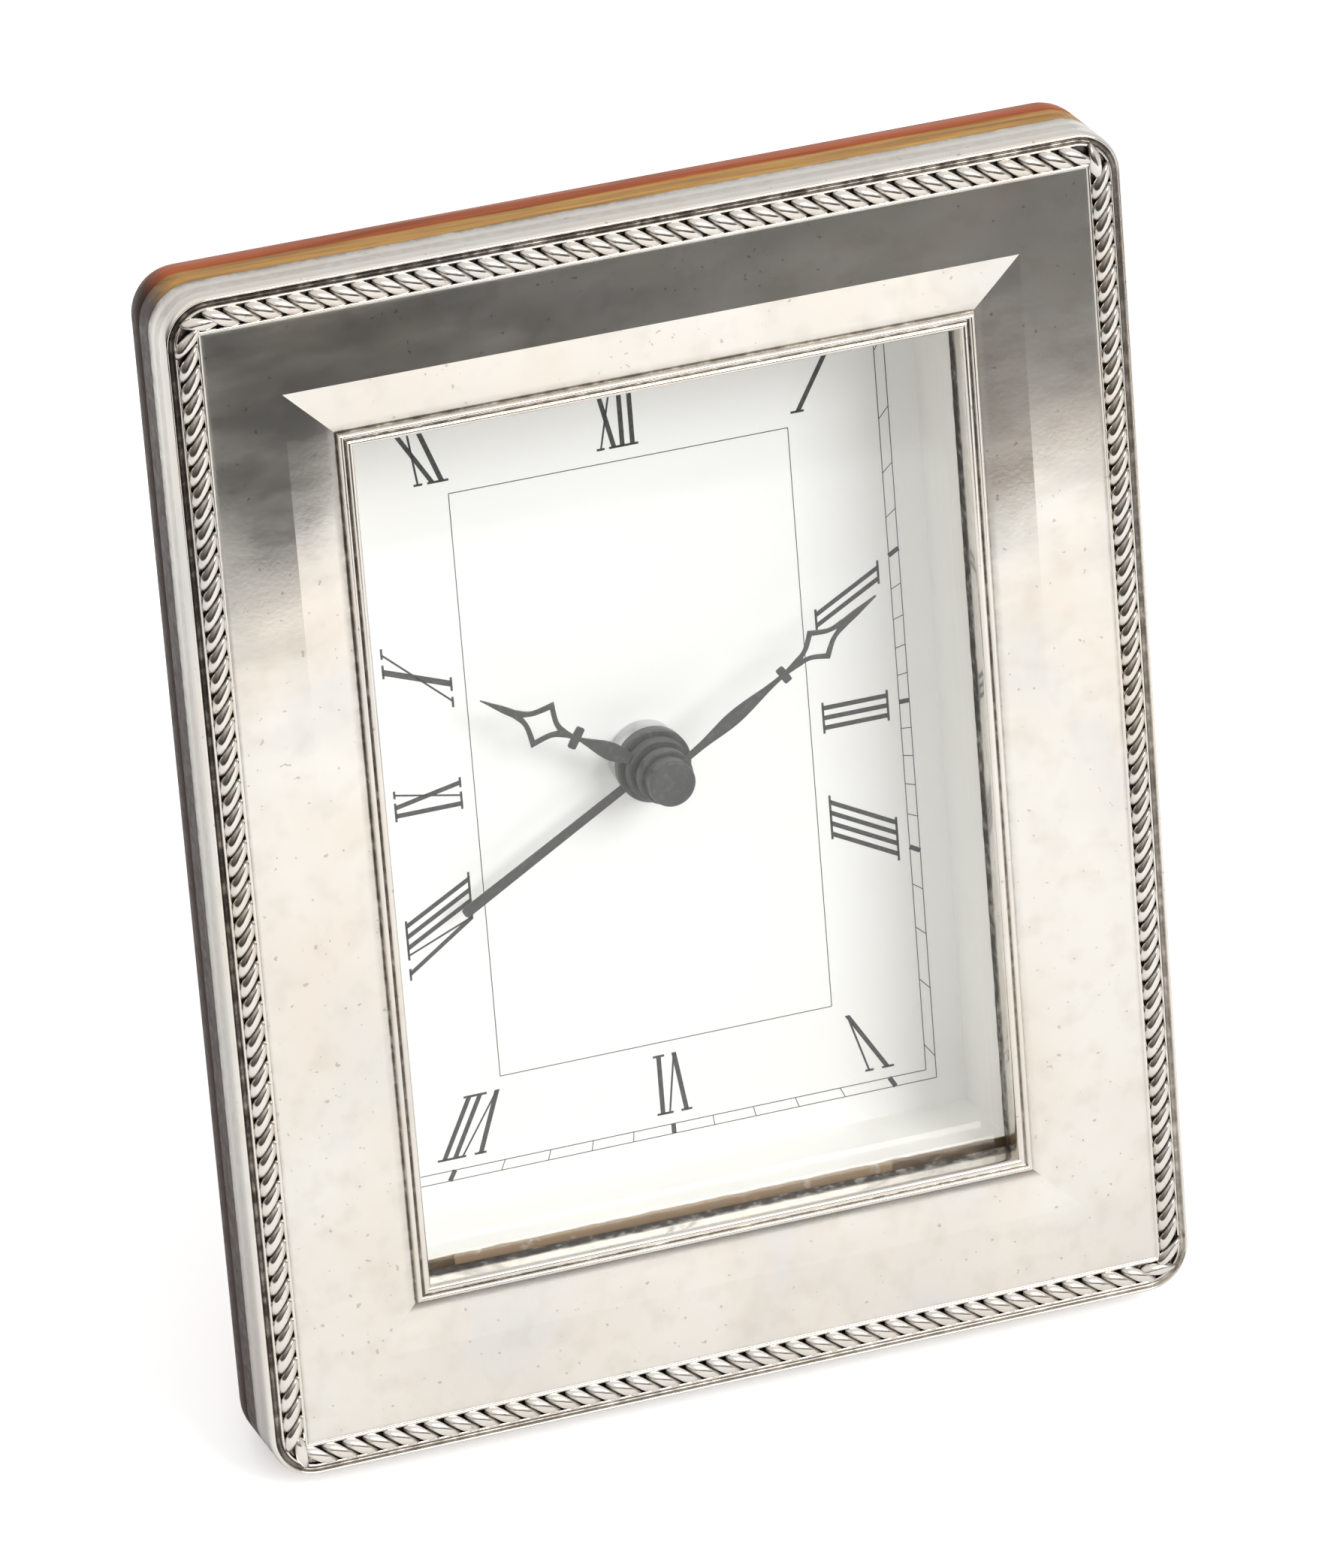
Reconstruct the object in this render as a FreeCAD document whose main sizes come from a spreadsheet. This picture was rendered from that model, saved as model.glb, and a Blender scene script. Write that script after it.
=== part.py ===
import FreeCAD, Part
import math
import os
import re
import Sketcher

os.makedirs("parts", exist_ok=True)

doc = FreeCAD.newDocument("PhotoFrameClock")
Vector = FreeCAD.Vector

# Driving sizes in millimetres and degrees.
# X runs to the right seen from the front, Y is the depth behind the silver's flat band,
# Z runs up from the frame's bottom edge. The whole clock is leaned back at the end.
SIZES = [
    # outside of the frame
    ("frame_width", 100.0),
    ("frame_height", 127.0),
    ("frame_corner_radius", 4.8),
    ("lean_angle", 12.88),
    # pressed silver front
    ("sheet_thickness", 0.45),
    ("filler_depth", 0.85),
    ("skirt_depth", 5.2),
    ("band_margin", 3.8),
    ("band_width", 12.8),
    ("cove_width", 5.2),
    ("cove_drop", 0.4),
    ("window_bead_width", 1.6),
    ("bead_height", 0.25),
    ("window_return_depth", 3.6),
    ("shoulder_radius", 0.7),
    ("edge_bead_inset", 0.8),
    ("edge_bead_width", 0.55),
    ("edge_groove_depth", 0.35),
    ("inner_bead_width", 0.45),
    ("rope_height", 0.78),
    ("rope_pitch", 2.18),
    # wood body and back
    ("wood_depth", 14.8),
    ("wood_edge_radius", 4.5),
    ("rebate_overlap", 2.8),
    ("back_panel_thickness", 5.5),
    ("back_panel_inset", 5.5),
    ("back_panel_corner", 3.0),
    ("back_panel_edge_radius", 1.2),
    # glass, reveal and dial
    ("glass_thickness", 2.0),
    ("side_gap", 0.3),
    ("reveal_wall_side", 2.05),
    ("reveal_wall_end", 2.95),
    ("dial_depth", 16.45),
    ("dial_thickness", 0.8),
    ("dial_hole_clearance", 0.2),
    ("arbor_x", 0.36),
    ("arbor_rise", 0.27),
    # movement case
    ("movement_corner", 4.0),
    ("movement_gap", 0.4),
    ("front_case_depth", 4.75),
    ("rear_case_depth", 11.25),
    ("case_wall", 1.2),
    ("middle_plate_thickness", 0.8),
    ("bush_radius", 3.3),
    ("bush_reach", 2.4),
    ("nut_radius", 4.1),
    ("nut_height", 2.1),
    # arbors, pipes and running fits
    ("running_clearance", 0.05),
    ("minute_arbor_radius", 1.0),
    ("hour_pipe_radius", 1.8),
    ("alarm_pipe_radius", 2.65),
    ("wheel_thickness", 0.8),
    ("wheel_gap", 0.25),
    # gear train
    ("minute_module", 0.25),
    ("minute_pinion_teeth", 12),
    ("motion_wheel_teeth", 36),
    ("motion_pinion_teeth", 10),
    ("hour_wheel_teeth", 40),
    ("motion_angle", 90.0),
    ("alarm_module", 0.3),
    ("alarm_wheel_teeth", 60),
    ("alarm_pinion_teeth", 15),
    ("alarm_angle", 30.0),
    ("alarm_wheel_margin", 0.445),
    ("addendum_share", 0.85),
    ("tooth_play_share", 0.2),
    ("stud_radius", 0.6),
    # hands
    ("hand_thickness", 0.3),
    ("alarm_hand_height", 3.4),
    ("hour_hand_height", 5.0),
    ("minute_hand_height", 7.0),
    ("alarm_hand_length", 24.5),
    ("hour_hand_length", 21.35),
    ("minute_hand_length", 28.1),
    ("alarm_boss_radius", 3.95),
    ("hour_boss_radius", 3.4),
    ("minute_boss_radius", 2.9),
    ("boss_height", 1.3),
    ("cap_radius", 2.8),
    ("cap_height", 2.0),
    ("alarm_hand_angle", 240.6),
    ("hour_hand_angle", 301.8),
    ("minute_hand_angle", 58.2),
    # knobs and alarm switch
    ("time_knob_radius", 5.6),
    ("alarm_knob_radius", 4.6),
    ("knob_height", 3.4),
    ("knob_gap", 0.3),
    ("knob_shaft_radius", 1.3),
    ("flute_radius", 0.45),
    ("flute_count", 18),
    ("switch_travel", 3.0),
    ("switch_width", 3.6),
    ("switch_height", 4.4),
    ("switch_inset_side", 10.5),
    ("switch_inset_top", 7.0),
    # battery and electrics
    ("battery_radius", 7.15),
    ("battery_length", 49.0),
    ("battery_button_radius", 2.7),
    ("battery_button_length", 1.4),
    ("bay_gap", 0.2),
    ("contact_thickness", 0.4),
    ("contact_depth_share", 1.6),
    ("contact_height_share", 1.2),
    ("coil_radius", 3.2),
    ("coil_length", 17.0),
    ("coil_core_share", 0.8),
    ("coil_margin", 0.65),
    ("board_thickness", 1.0),
    ("board_height", 12.0),
    ("board_gap", 0.75),
    ("board_margin", 6.8),
    ("buzzer_radius", 8.5),
    ("buzzer_thickness", 0.6),
    ("buzzer_gap", 1.5),
    ("buzzer_margin", 1.8),
    # easel strut and its hinge
    ("strut_open_angle", 36.0),
    ("strut_width", 26.0),
    ("strut_foot_width", 34.0),
    ("strut_thickness", 4.0),
    ("hinge_margin", 2.17),
    ("hinge_leaf_thickness", 0.7),
    ("hinge_leaf_length", 9.5),
    ("hinge_width", 18.0),
    ("hinge_knuckle_gap", 0.1),
    ("hinge_barrel_radius", 1.25),
    ("hinge_pin_radius", 0.6),
    # screws
    ("screw_shank_radius", 1.0),
    ("screw_head_radius", 2.1),
    ("screw_head_height", 1.3),
    ("screw_length", 9.0),
    ("screw_inset_x", 10.5),
    ("screw_inset_z", 10.5),
    ("leaf_screw_radius", 0.7),
    ("leaf_screw_length", 2.6),
    ("leaf_screw_spread_share", 0.6),
    ("leaf_screw_drop_share", 0.65),
    ("overrun", 2.0),
]

# Sizes that follow from the ones above: the movement is as wide as its battery bay needs and
# as high as bay and alarm wheel need, the switch and the hinge keep their distance from its edge,
# and the reveal follows the window.
WINDOW_MARGIN = "(band_margin + band_width + window_bead_width - rebate_overlap)"
FOLLOWING = [
    ("movement_width", "battery_length + battery_button_length + 2 * contact_thickness + 4 * case_wall"),
    ("movement_height", "2 * (alarm_module * (alarm_wheel_teeth / 2 + addendum_share) + alarm_wheel_margin"
     " + 3 * case_wall + 2 * battery_radius + 2 * bay_gap)"),
    ("switch_x", "movement_width / 2 - switch_inset_side"),
    ("switch_rise", "movement_height / 2 - switch_inset_top"),
    ("hinge_rise", "frame_height / 2 + arbor_rise - movement_height / 2 - movement_gap - hinge_margin"),
    ("reveal_opening_width", "frame_width - 2 * " + WINDOW_MARGIN + " - 2 * reveal_wall_side"),
    ("reveal_opening_height", "frame_height - 2 * " + WINDOW_MARGIN + " - 2 * reveal_wall_end"),
]

sheet = doc.addObject("Spreadsheet::Sheet", "Sizes")
for row, (name, number) in enumerate(SIZES, start=1):
    sheet.set("A%d" % row, name)
    sheet.set("B%d" % row, str(number))
    sheet.setAlias("B%d" % row, name)
for row, (name, formula) in enumerate(FOLLOWING, start=len(SIZES) + 1):
    sheet.set("A%d" % row, name)
    sheet.set("B%d" % row, "=" + formula)
    sheet.setAlias("B%d" % row, name)
    doc.recompute()


def size(name):
    """Reads one driving size back from the sheet."""
    return float(sheet.get(name))


def bind(thing, prop, formula):
    """Ties a property to a formula whose words are names of driving sizes."""
    names = [entry[0] for entry in SIZES + FOLLOWING]
    tied = re.sub(r"[a-z_]+", lambda word: "Sizes." + word[0] if word[0] in names else word[0], formula)
    thing.setExpression(prop, tied)


# Depths and heights that more than one piece shares.
frame_width = size("frame_width")
frame_height = size("frame_height")
middle_height = frame_height / 2
dial_depth = size("dial_depth")
glass_depth = size("window_return_depth")
window_margin = size("band_margin") + size("band_width") + size("window_bead_width")
arbor_x = size("arbor_x")
arbor_z = middle_height + size("arbor_rise")
clearance = size("running_clearance")
overrun = size("overrun")
wheel_thickness = size("wheel_thickness")
wheel_gap = size("wheel_gap")
case_front = dial_depth + size("dial_thickness")
case_joint = case_front + size("front_case_depth")
case_back = case_joint + size("rear_case_depth")
panel_back = size("wood_depth") + size("back_panel_thickness")

GLASS_WIDTH = "frame_width - 2 * ( band_margin + band_width + window_bead_width ) + 2 * rebate_overlap"
GLASS_HEIGHT = "frame_height - 2 * ( band_margin + band_width + window_bead_width ) + 2 * rebate_overlap"
CASE_FRONT = "dial_depth + dial_thickness"
CASE_JOINT = CASE_FRONT + " + front_case_depth"
CASE_BACK = CASE_JOINT + " + rear_case_depth"
PANEL_BACK = "wood_depth + back_panel_thickness"
CENTRE_Z = "frame_height / 2"
ARBOR_Z = "frame_height / 2 + arbor_rise"

pieces = []


def keep(piece, name):
    """Names a finished sub-part and puts it on the list of those written out."""
    piece.Label = name
    pieces.append(piece)
    return piece


# Sketch and feature helpers for pieces that are cut across the depth of the clock.
def plane_of(body, role):
    for item in body.Origin.OriginFeatures:
        if item.Role == role:
            return item


def cross_sketch(body, name, depth, across="0", up="0"):
    """A sketch facing the front at a depth, its own origin at a place on the frame."""
    sketch = body.newObject("Sketcher::SketchObject", name)
    sketch.AttachmentSupport = [(plane_of(body, "XZ_Plane"), "")]
    sketch.MapMode = "FlatFace"
    bind(sketch, "AttachmentOffset.Base.z", "0 - ( " + depth + " )")
    bind(sketch, "AttachmentOffset.Base.x", across)
    bind(sketch, "AttachmentOffset.Base.y", up)
    return sketch


def tie(sketch, constraint, name, formula):
    index = sketch.addConstraint(constraint)
    sketch.renameConstraint(index, name)
    bind(sketch, "Constraints." + name, formula)


def draw_rectangle(sketch, wide, high, tag=""):
    """A rectangle about the sketch's origin, tied to two formulas."""
    first = sketch.GeometryCount
    ends = [(-1, -1), (1, -1), (1, 1), (-1, 1)]
    for index in range(4):
        start = Vector(*ends[index], 0)
        stop = Vector(*ends[(index + 1) % 4], 0)
        sketch.addGeometry(Part.LineSegment(start, stop), False)
    for index in range(4):
        following = first + (index + 1) % 4
        sketch.addConstraint(Sketcher.Constraint("Coincident", first + index, 2, following, 1))
    for index in (0, 2):
        sketch.addConstraint(Sketcher.Constraint("Horizontal", first + index))
        sketch.addConstraint(Sketcher.Constraint("Vertical", first + index + 1))
    sketch.addConstraint(Sketcher.Constraint("Symmetric", first, 1, first + 2, 1, -1, 1))
    tie(sketch, Sketcher.Constraint("DistanceX", first, 1, first, 2, 2), "wide" + tag, wide)
    tie(sketch, Sketcher.Constraint("DistanceY", first + 1, 1, first + 1, 2, 2), "high" + tag, high)


def draw_circle(sketch, radius, tag=""):
    """A circle about the sketch's origin."""
    index = sketch.addGeometry(Part.Circle(Vector(0, 0, 0), Vector(0, 0, 1), 1), False)
    sketch.addConstraint(Sketcher.Constraint("Coincident", index, 3, -1, 1))
    tie(sketch, Sketcher.Constraint("Radius", index, 1), "radius" + tag, radius)


def pad(body, sketch, name, length):
    """Adds material from the sketch towards the back."""
    feature = body.newObject("PartDesign::Pad", name)
    feature.Profile = sketch
    feature.Reversed = True
    bind(feature, "Length", length)
    doc.recompute()
    return feature


def pocket(body, sketch, name, length):
    """Cuts from the sketch towards the back and proves that something was cut."""
    before = body.Shape.Volume
    feature = body.newObject("PartDesign::Pocket", name)
    feature.Profile = sketch
    bind(feature, "Length", length)
    doc.recompute()
    if body.Shape.Volume >= before:
        raise RuntimeError(name + " cut nothing")
    return feature


def fillet(body, base, name, radius, wanted):
    """Rounds the edges of the last feature that a test picks."""
    edges = []
    for index, edge in enumerate(base.Shape.Edges):
        if wanted(edge):
            edges.append("Edge%d" % (index + 1))
    feature = body.newObject("PartDesign::Fillet", name)
    feature.Base = (base, edges)
    bind(feature, "Radius", radius)
    doc.recompute()
    return feature


def runs_deep(edge):
    """True for a straight edge along the depth of the clock."""
    return edge.Curve.TypeId == "Part::GeomLine" and abs(edge.tangentAt(edge.FirstParameter).y) > 0.99


def lies_at(edge, depth):
    """True for an edge that lies wholly at one depth."""
    box = edge.BoundBox
    return abs(box.YMin - depth) < 0.001 and abs(box.YMax - depth) < 0.001


def outside_of(edge, half_width):
    """True for an edge that belongs to the outer outline of a plate."""
    box = edge.BoundBox
    return max(abs(box.XMin), abs(box.XMax)) > half_width


# Helpers for turned and sawn pieces made of primitives.
def rod(name, radius, length, across, depth, up):
    """A round bar along the depth, its front end at a depth."""
    bar = doc.addObject("Part::Cylinder", name)
    bind(bar, "Radius", radius)
    bind(bar, "Height", length)
    bar.Placement = FreeCAD.Placement(Vector(0, 0, 0), FreeCAD.Rotation(Vector(1, 0, 0), -90))
    bind(bar, "Placement.Base.x", across)
    bind(bar, "Placement.Base.y", depth)
    bind(bar, "Placement.Base.z", up)
    return bar


def cross_rod(name, radius, length, left, depth, up):
    """A round bar along the width, its left end at a place."""
    bar = doc.addObject("Part::Cylinder", name)
    bind(bar, "Radius", radius)
    bind(bar, "Height", length)
    bar.Placement = FreeCAD.Placement(Vector(0, 0, 0), FreeCAD.Rotation(Vector(0, 1, 0), 90))
    bind(bar, "Placement.Base.x", left)
    bind(bar, "Placement.Base.y", depth)
    bind(bar, "Placement.Base.z", up)
    return bar


def block(name, wide, deep, high, left, front, bottom):
    """A sawn block with its low corner at a place."""
    box = doc.addObject("Part::Box", name)
    bind(box, "Length", wide)
    bind(box, "Width", deep)
    bind(box, "Height", high)
    bind(box, "Placement.Base.x", left)
    bind(box, "Placement.Base.y", front)
    bind(box, "Placement.Base.z", bottom)
    return box


def joined(name, shapes):
    fuse = doc.addObject("Part::MultiFuse", name)
    fuse.Shapes = shapes
    fuse.Refine = True
    doc.recompute()
    return fuse


def cut_from(name, base, tool):
    result = doc.addObject("Part::Cut", name)
    result.Base = base
    result.Tool = tool
    doc.recompute()
    return result


def shaped(name, shape):
    """A piece whose form is worked out point by point."""
    feature = doc.addObject("Part::Feature", name)
    feature.Shape = shape
    return feature


# Silver front: one sheet pressed over the wood, with a rope border between two beads.
# Its outline is swept once round the rounded outside and once round the mitred window.
margin = size("band_margin")
corner = size("frame_corner_radius")
sheet_thickness = size("sheet_thickness")
filler_depth = size("filler_depth")
skirt_depth = size("skirt_depth")
bead_height = size("bead_height")
rope_base = size("edge_groove_depth")
edge_bead_inset = size("edge_bead_inset")
edge_bead_width = size("edge_bead_width")
inner_bead_width = size("inner_bead_width")
rope_outer = edge_bead_inset + edge_bead_width
rope_inner = margin - inner_bead_width
rope_middle = (rope_outer + rope_inner) / 2
rope_width = rope_inner - rope_outer


def section_point(inset, depth):
    """A point of the moulding's section at the middle of the left side."""
    return Vector(inset - frame_width / 2, depth, middle_height)


def section_line(first, second):
    return Part.LineSegment(section_point(*first), section_point(*second)).toShape()


def section_arc(first, middle, second):
    points = [section_point(*place) for place in (first, middle, second)]
    return Part.Arc(*points).toShape()


def section_wire(items):
    """Joins lines and arcs given as tuples of (inset, depth) places."""
    edges = []
    for item in items:
        edges.append(section_line(*item) if len(item) == 2 else section_arc(*item))
    return Part.Wire(edges)


def rim_section():
    shoulder = size("shoulder_radius")
    bead_middle = edge_bead_inset + edge_bead_width / 2
    groove_share = 0.85
    diagonal = shoulder * (1 - math.sqrt(0.5))
    inner_end = margin - inner_bead_width / 2
    return section_wire([
        ((0, skirt_depth), (0, shoulder)),
        ((0, shoulder), (diagonal, diagonal), (shoulder * groove_share, 0)),
        ((shoulder * groove_share, 0), (edge_bead_inset, rope_base / 2)),
        ((edge_bead_inset, rope_base / 2), (bead_middle, -bead_height / 2), (rope_outer, rope_base)),
        ((rope_outer, rope_base), (inner_end, rope_base)),
        ((inner_end, rope_base), (inner_end, filler_depth)),
        ((inner_end, filler_depth), (sheet_thickness, filler_depth)),
        ((sheet_thickness, filler_depth), (sheet_thickness, skirt_depth)),
        ((sheet_thickness, skirt_depth), (0, skirt_depth)),
    ])


def window_section():
    cove_end = margin + size("band_width")
    cove_start = cove_end - size("cove_width")
    cove_drop = size("cove_drop")
    cove_middle_share = 0.25
    bead_width = size("window_bead_width")
    step = cove_end + bead_width / 2
    return_depth = size("window_return_depth")
    bead_top_share = 0.25
    lip = bead_height / 2
    return section_wire([
        ((rope_inner, filler_depth), (rope_inner, rope_base)),
        ((rope_inner, rope_base), (margin - inner_bead_width / 2, -bead_height), (margin, 0)),
        ((margin, 0), (cove_start, 0)),
        ((cove_start, 0), ((cove_start + cove_end) / 2, cove_drop * cove_middle_share),
         (cove_end, cove_drop)),
        ((cove_end, cove_drop), (cove_end + bead_width * bead_top_share, -bead_height), (step, lip)),
        ((step, lip), (step + bead_width * bead_top_share, -lip), (window_margin, bead_height * 2)),
        ((window_margin, bead_height * 2), (window_margin, return_depth)),
        ((window_margin, return_depth), (window_margin - sheet_thickness, return_depth)),
        ((window_margin - sheet_thickness, return_depth), (window_margin - sheet_thickness, filler_depth)),
        ((window_margin - sheet_thickness, filler_depth), (rope_inner, filler_depth)),
    ])


def rounded_path():
    """The frame's outside outline, starting at the middle of the left side."""
    half = frame_width / 2
    bend = corner * (1 - math.sqrt(0.5))
    left_middle = Vector(-half, 0, middle_height)
    edges = []
    start = left_middle
    turns = [
        ((-half, frame_height - corner), (-half + bend, frame_height - bend), (-half + corner, frame_height)),
        ((half - corner, frame_height), (half - bend, frame_height - bend), (half, frame_height - corner)),
        ((half, corner), (half - bend, bend), (half - corner, 0)),
        ((-half + corner, 0), (-half + bend, bend), (-half, corner)),
    ]
    for turn in turns:
        points = [Vector(place[0], 0, place[1]) for place in turn]
        edges.append(Part.LineSegment(start, points[0]).toShape())
        edges.append(Part.Arc(*points).toShape())
        start = points[2]
    edges.append(Part.LineSegment(start, left_middle).toShape())
    return Part.Wire(edges)


def square_path():
    half = frame_width / 2
    places = [(-half, middle_height), (-half, frame_height), (half, frame_height), (half, 0), (-half, 0)]
    points = [Vector(place[0], 0, place[1]) for place in places]
    return Part.makePolygon(points + [points[0]])


def rope_place(travel, offset):
    """A place on the rope's centre line, moved outwards by an offset, after some travel."""
    bend_radius = corner - rope_middle
    straight_wide = frame_width - 2 * corner
    straight_high = frame_height - 2 * corner
    bend_length = math.pi / 2 * bend_radius
    legs = [straight_high, bend_length, straight_wide, bend_length]
    total = 2 * sum(legs)
    travel = travel % total
    centre_x = frame_width / 2 - corner
    centre_z = frame_height / 2 - corner
    side = 0
    for length in legs + legs:
        if travel <= length:
            break
        travel -= length
        side += 1
    quarter = side // 2
    turned = math.pi - quarter * math.pi / 2
    signs = [(-1, 1), (1, 1), (1, -1), (-1, -1)][quarter]
    middle = Vector(signs[0] * centre_x, 0, signs[1] * centre_z)
    reach = bend_radius + offset
    if side % 2:
        angle = turned - travel / bend_radius
        return middle + Vector(math.cos(angle) * reach, 0, math.sin(angle) * reach)
    length = legs[side % 4]
    outward = Vector(math.cos(turned), 0, math.sin(turned))
    along = Vector(math.sin(turned), 0, -math.cos(turned))
    return middle + outward * reach - along * (length - travel)


def rope_solid():
    """A twist of slanting strands as one closed solid: rows across, two stations a strand."""
    bend_radius = corner - rope_middle
    total = 2 * (frame_width + frame_height - 4 * corner) + 2 * math.pi * bend_radius
    strands = int(round(total / size("rope_pitch")))
    row_shares = (-0.5, -0.27, 0.02, 0.3, 0.5)
    crest_shares = (0.18, 0.82, 1.0, 0.8, 0.18)
    valley_shares = (0.05, 0.22, 0.3, 0.22, 0.05)
    slant_share = 0.85
    lean_share = 0.12
    overlap_share = 1.06
    height = size("rope_height") + rope_base
    stations = 2 * strands
    lift = Vector(0, 0, middle_height)
    top = []
    floor_depth = (rope_base + filler_depth) / 2
    for station in range(stations):
        row = []
        for place, share in enumerate(row_shares):
            crest = station % 2 == 0
            shares = crest_shares if crest else valley_shares
            shift = (lean_share if crest else -lean_share) - slant_share * share
            travel = total * (station / 2.0 + shift) / strands
            point = rope_place(travel, share * rope_width * overlap_share) + lift
            point.y = rope_base - height * shares[place]
            row.append(point)
        top.append(row)
    faces = []
    last = len(row_shares) - 1
    for station in range(stations):
        here = top[station]
        there = top[(station + 1) % stations]
        for place in range(last):
            corners = [here[place], there[place], there[place + 1], here[place + 1]]
            faces.append(Part.Face(Part.makePolygon([corners[0], corners[1], corners[2], corners[0]])))
            faces.append(Part.Face(Part.makePolygon([corners[0], corners[2], corners[3], corners[0]])))
        rim = (here[0], here[last], there[last], there[0])
        low = [Vector(point.x, floor_depth, point.z) for point in rim]
        faces.append(Part.Face(Part.makePolygon([low[0], low[1], low[2], low[0]])))
        faces.append(Part.Face(Part.makePolygon([low[0], low[2], low[3], low[0]])))
        faces.append(Part.Face(Part.makePolygon([here[0], low[0], low[3], here[0]])))
        faces.append(Part.Face(Part.makePolygon([here[0], low[3], there[0], here[0]])))
        faces.append(Part.Face(Part.makePolygon([here[last], there[last], low[2], here[last]])))
        faces.append(Part.Face(Part.makePolygon([here[last], low[2], low[1], here[last]])))
    solid = Part.makeSolid(Part.makeShell(faces))
    if solid.Volume < 0:
        solid.reverse()
    return solid


def silver_shape():
    rim = rounded_path().makePipeShell([rim_section()], True, False)
    window = square_path().makePipeShell([window_section()], True, False, 1)
    return rim.fuse(window).fuse(rope_solid())


silver_front = keep(shaped("silver_front", silver_shape()), "silver_front")


# Wood body: a mahogany frame, routed for the glass and reveal, with a rounded back edge.
def wood_body():
    body = doc.addObject("PartDesign::Body", "wood_frame")
    front = cross_sketch(body, "wood_front_outline", "filler_depth", up=CENTRE_Z)
    draw_rectangle(front, "frame_width - 2 * sheet_thickness", "frame_height - 2 * sheet_thickness")
    core = pad(body, front, "wood_front_block", "skirt_depth - filler_depth")
    core = fillet(body, core, "wood_front_corners", "frame_corner_radius - sheet_thickness", runs_deep)
    back = cross_sketch(body, "wood_back_outline", "skirt_depth", up=CENTRE_Z)
    draw_rectangle(back, "frame_width", "frame_height")
    core = pad(body, back, "wood_back_block", "wood_depth - skirt_depth")
    half = frame_width / 2 - sheet_thickness / 2
    core = fillet(body, core, "wood_corners", "frame_corner_radius",
                  lambda edge: runs_deep(edge) and outside_of(edge, half))
    wood_depth = size("wood_depth")
    core = fillet(body, core, "wood_back_round", "wood_edge_radius", lambda edge: lies_at(edge, wood_depth))
    opening = cross_sketch(body, "wood_opening", "filler_depth", up=CENTRE_Z)
    margins = "2 * ( band_margin + band_width + window_bead_width - sheet_thickness )"
    draw_rectangle(opening, "frame_width - " + margins, "frame_height - " + margins)
    pocket(body, opening, "wood_window", "wood_depth")
    rebate = cross_sketch(body, "wood_rebate", "window_return_depth", up=CENTRE_Z)
    draw_rectangle(rebate, GLASS_WIDTH + " + 2 * side_gap", GLASS_HEIGHT + " + 2 * side_gap")
    pocket(body, rebate, "wood_glass_rebate", "wood_depth")
    return body


def screw_places():
    """Corners of the back panel where its screws stand, as formulas across and up."""
    across = "frame_width / 2 - screw_inset_x"
    down = "screw_inset_z"
    up = "frame_height - screw_inset_z"
    return [("0 - ( " + across + " )", down), (across, down), ("0 - ( " + across + " )", up), (across, up)]


def pocket_round_holes(body, name, radius, depth, length, places):
    """One round hole a place, cut towards the back."""
    for index, (across, up) in enumerate(places):
        sketch = cross_sketch(body, "%s_circle_%d" % (name, index), depth, across, up)
        draw_circle(sketch, radius)
        pocket(body, sketch, "%s_%d" % (name, index), length)


wood_frame = wood_body()
pocket_round_holes(wood_frame, "wood_pilot_hole", "screw_shank_radius + running_clearance",
                   PANEL_BACK + " - screw_length - overrun", "screw_length", screw_places())


def plane_flat(body):
    """Planes the lower back edge flat at the leaning angle, so that the clock stands steady."""
    sketch = body.newObject("Sketcher::SketchObject", "wood_standing_flat")
    sketch.AttachmentSupport = [(plane_of(body, "YZ_Plane"), "")]
    sketch.MapMode = "FlatFace"
    begin = size("wood_depth") - size("wood_edge_radius")
    run = size("wood_edge_radius") + overrun
    rise = run * math.tan(math.radians(size("lean_angle")))
    places = [(begin, 0), (begin + run, rise), (begin + run, -overrun), (begin, -overrun)]
    for index in range(4):
        start = Vector(*places[index], 0)
        stop = Vector(*places[(index + 1) % 4], 0)
        sketch.addGeometry(Part.LineSegment(start, stop), False)
        sketch.addConstraint(Sketcher.Constraint("Block", index))
    feature = body.newObject("PartDesign::Pocket", "wood_standing_edge")
    feature.Profile = sketch
    feature.Midplane = True
    bind(feature, "Length", "2 * frame_width")
    before = body.Shape.Volume
    doc.recompute()
    if body.Shape.Volume >= before:
        raise RuntimeError("the standing flat cut nothing")


plane_flat(wood_frame)
keep(wood_frame, "wood_frame")

# Glass pane: float glass that lies in the rebate against the silver's return.
glass = block("glass", GLASS_WIDTH, "glass_thickness", GLASS_HEIGHT,
              "0 - ( " + GLASS_WIDTH + " ) / 2", "window_return_depth",
              CENTRE_Z + " - ( " + GLASS_HEIGHT + " ) / 2")
keep(glass, "glass")


# Reveal liner: the white box frame between glass and dial.
def liner_body():
    body = doc.addObject("PartDesign::Body", "reveal_liner")
    outline = cross_sketch(body, "liner_outline", "window_return_depth + glass_thickness", up=CENTRE_Z)
    draw_rectangle(outline, GLASS_WIDTH, GLASS_HEIGHT)
    pad(body, outline, "liner_block", "dial_depth - window_return_depth - glass_thickness")
    opening = cross_sketch(body, "liner_opening", "window_return_depth", up=CENTRE_Z)
    draw_rectangle(opening, "reveal_opening_width", "reveal_opening_height")
    pocket(body, opening, "liner_hollow", "dial_depth")
    return body


keep(liner_body(), "reveal_liner")

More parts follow.
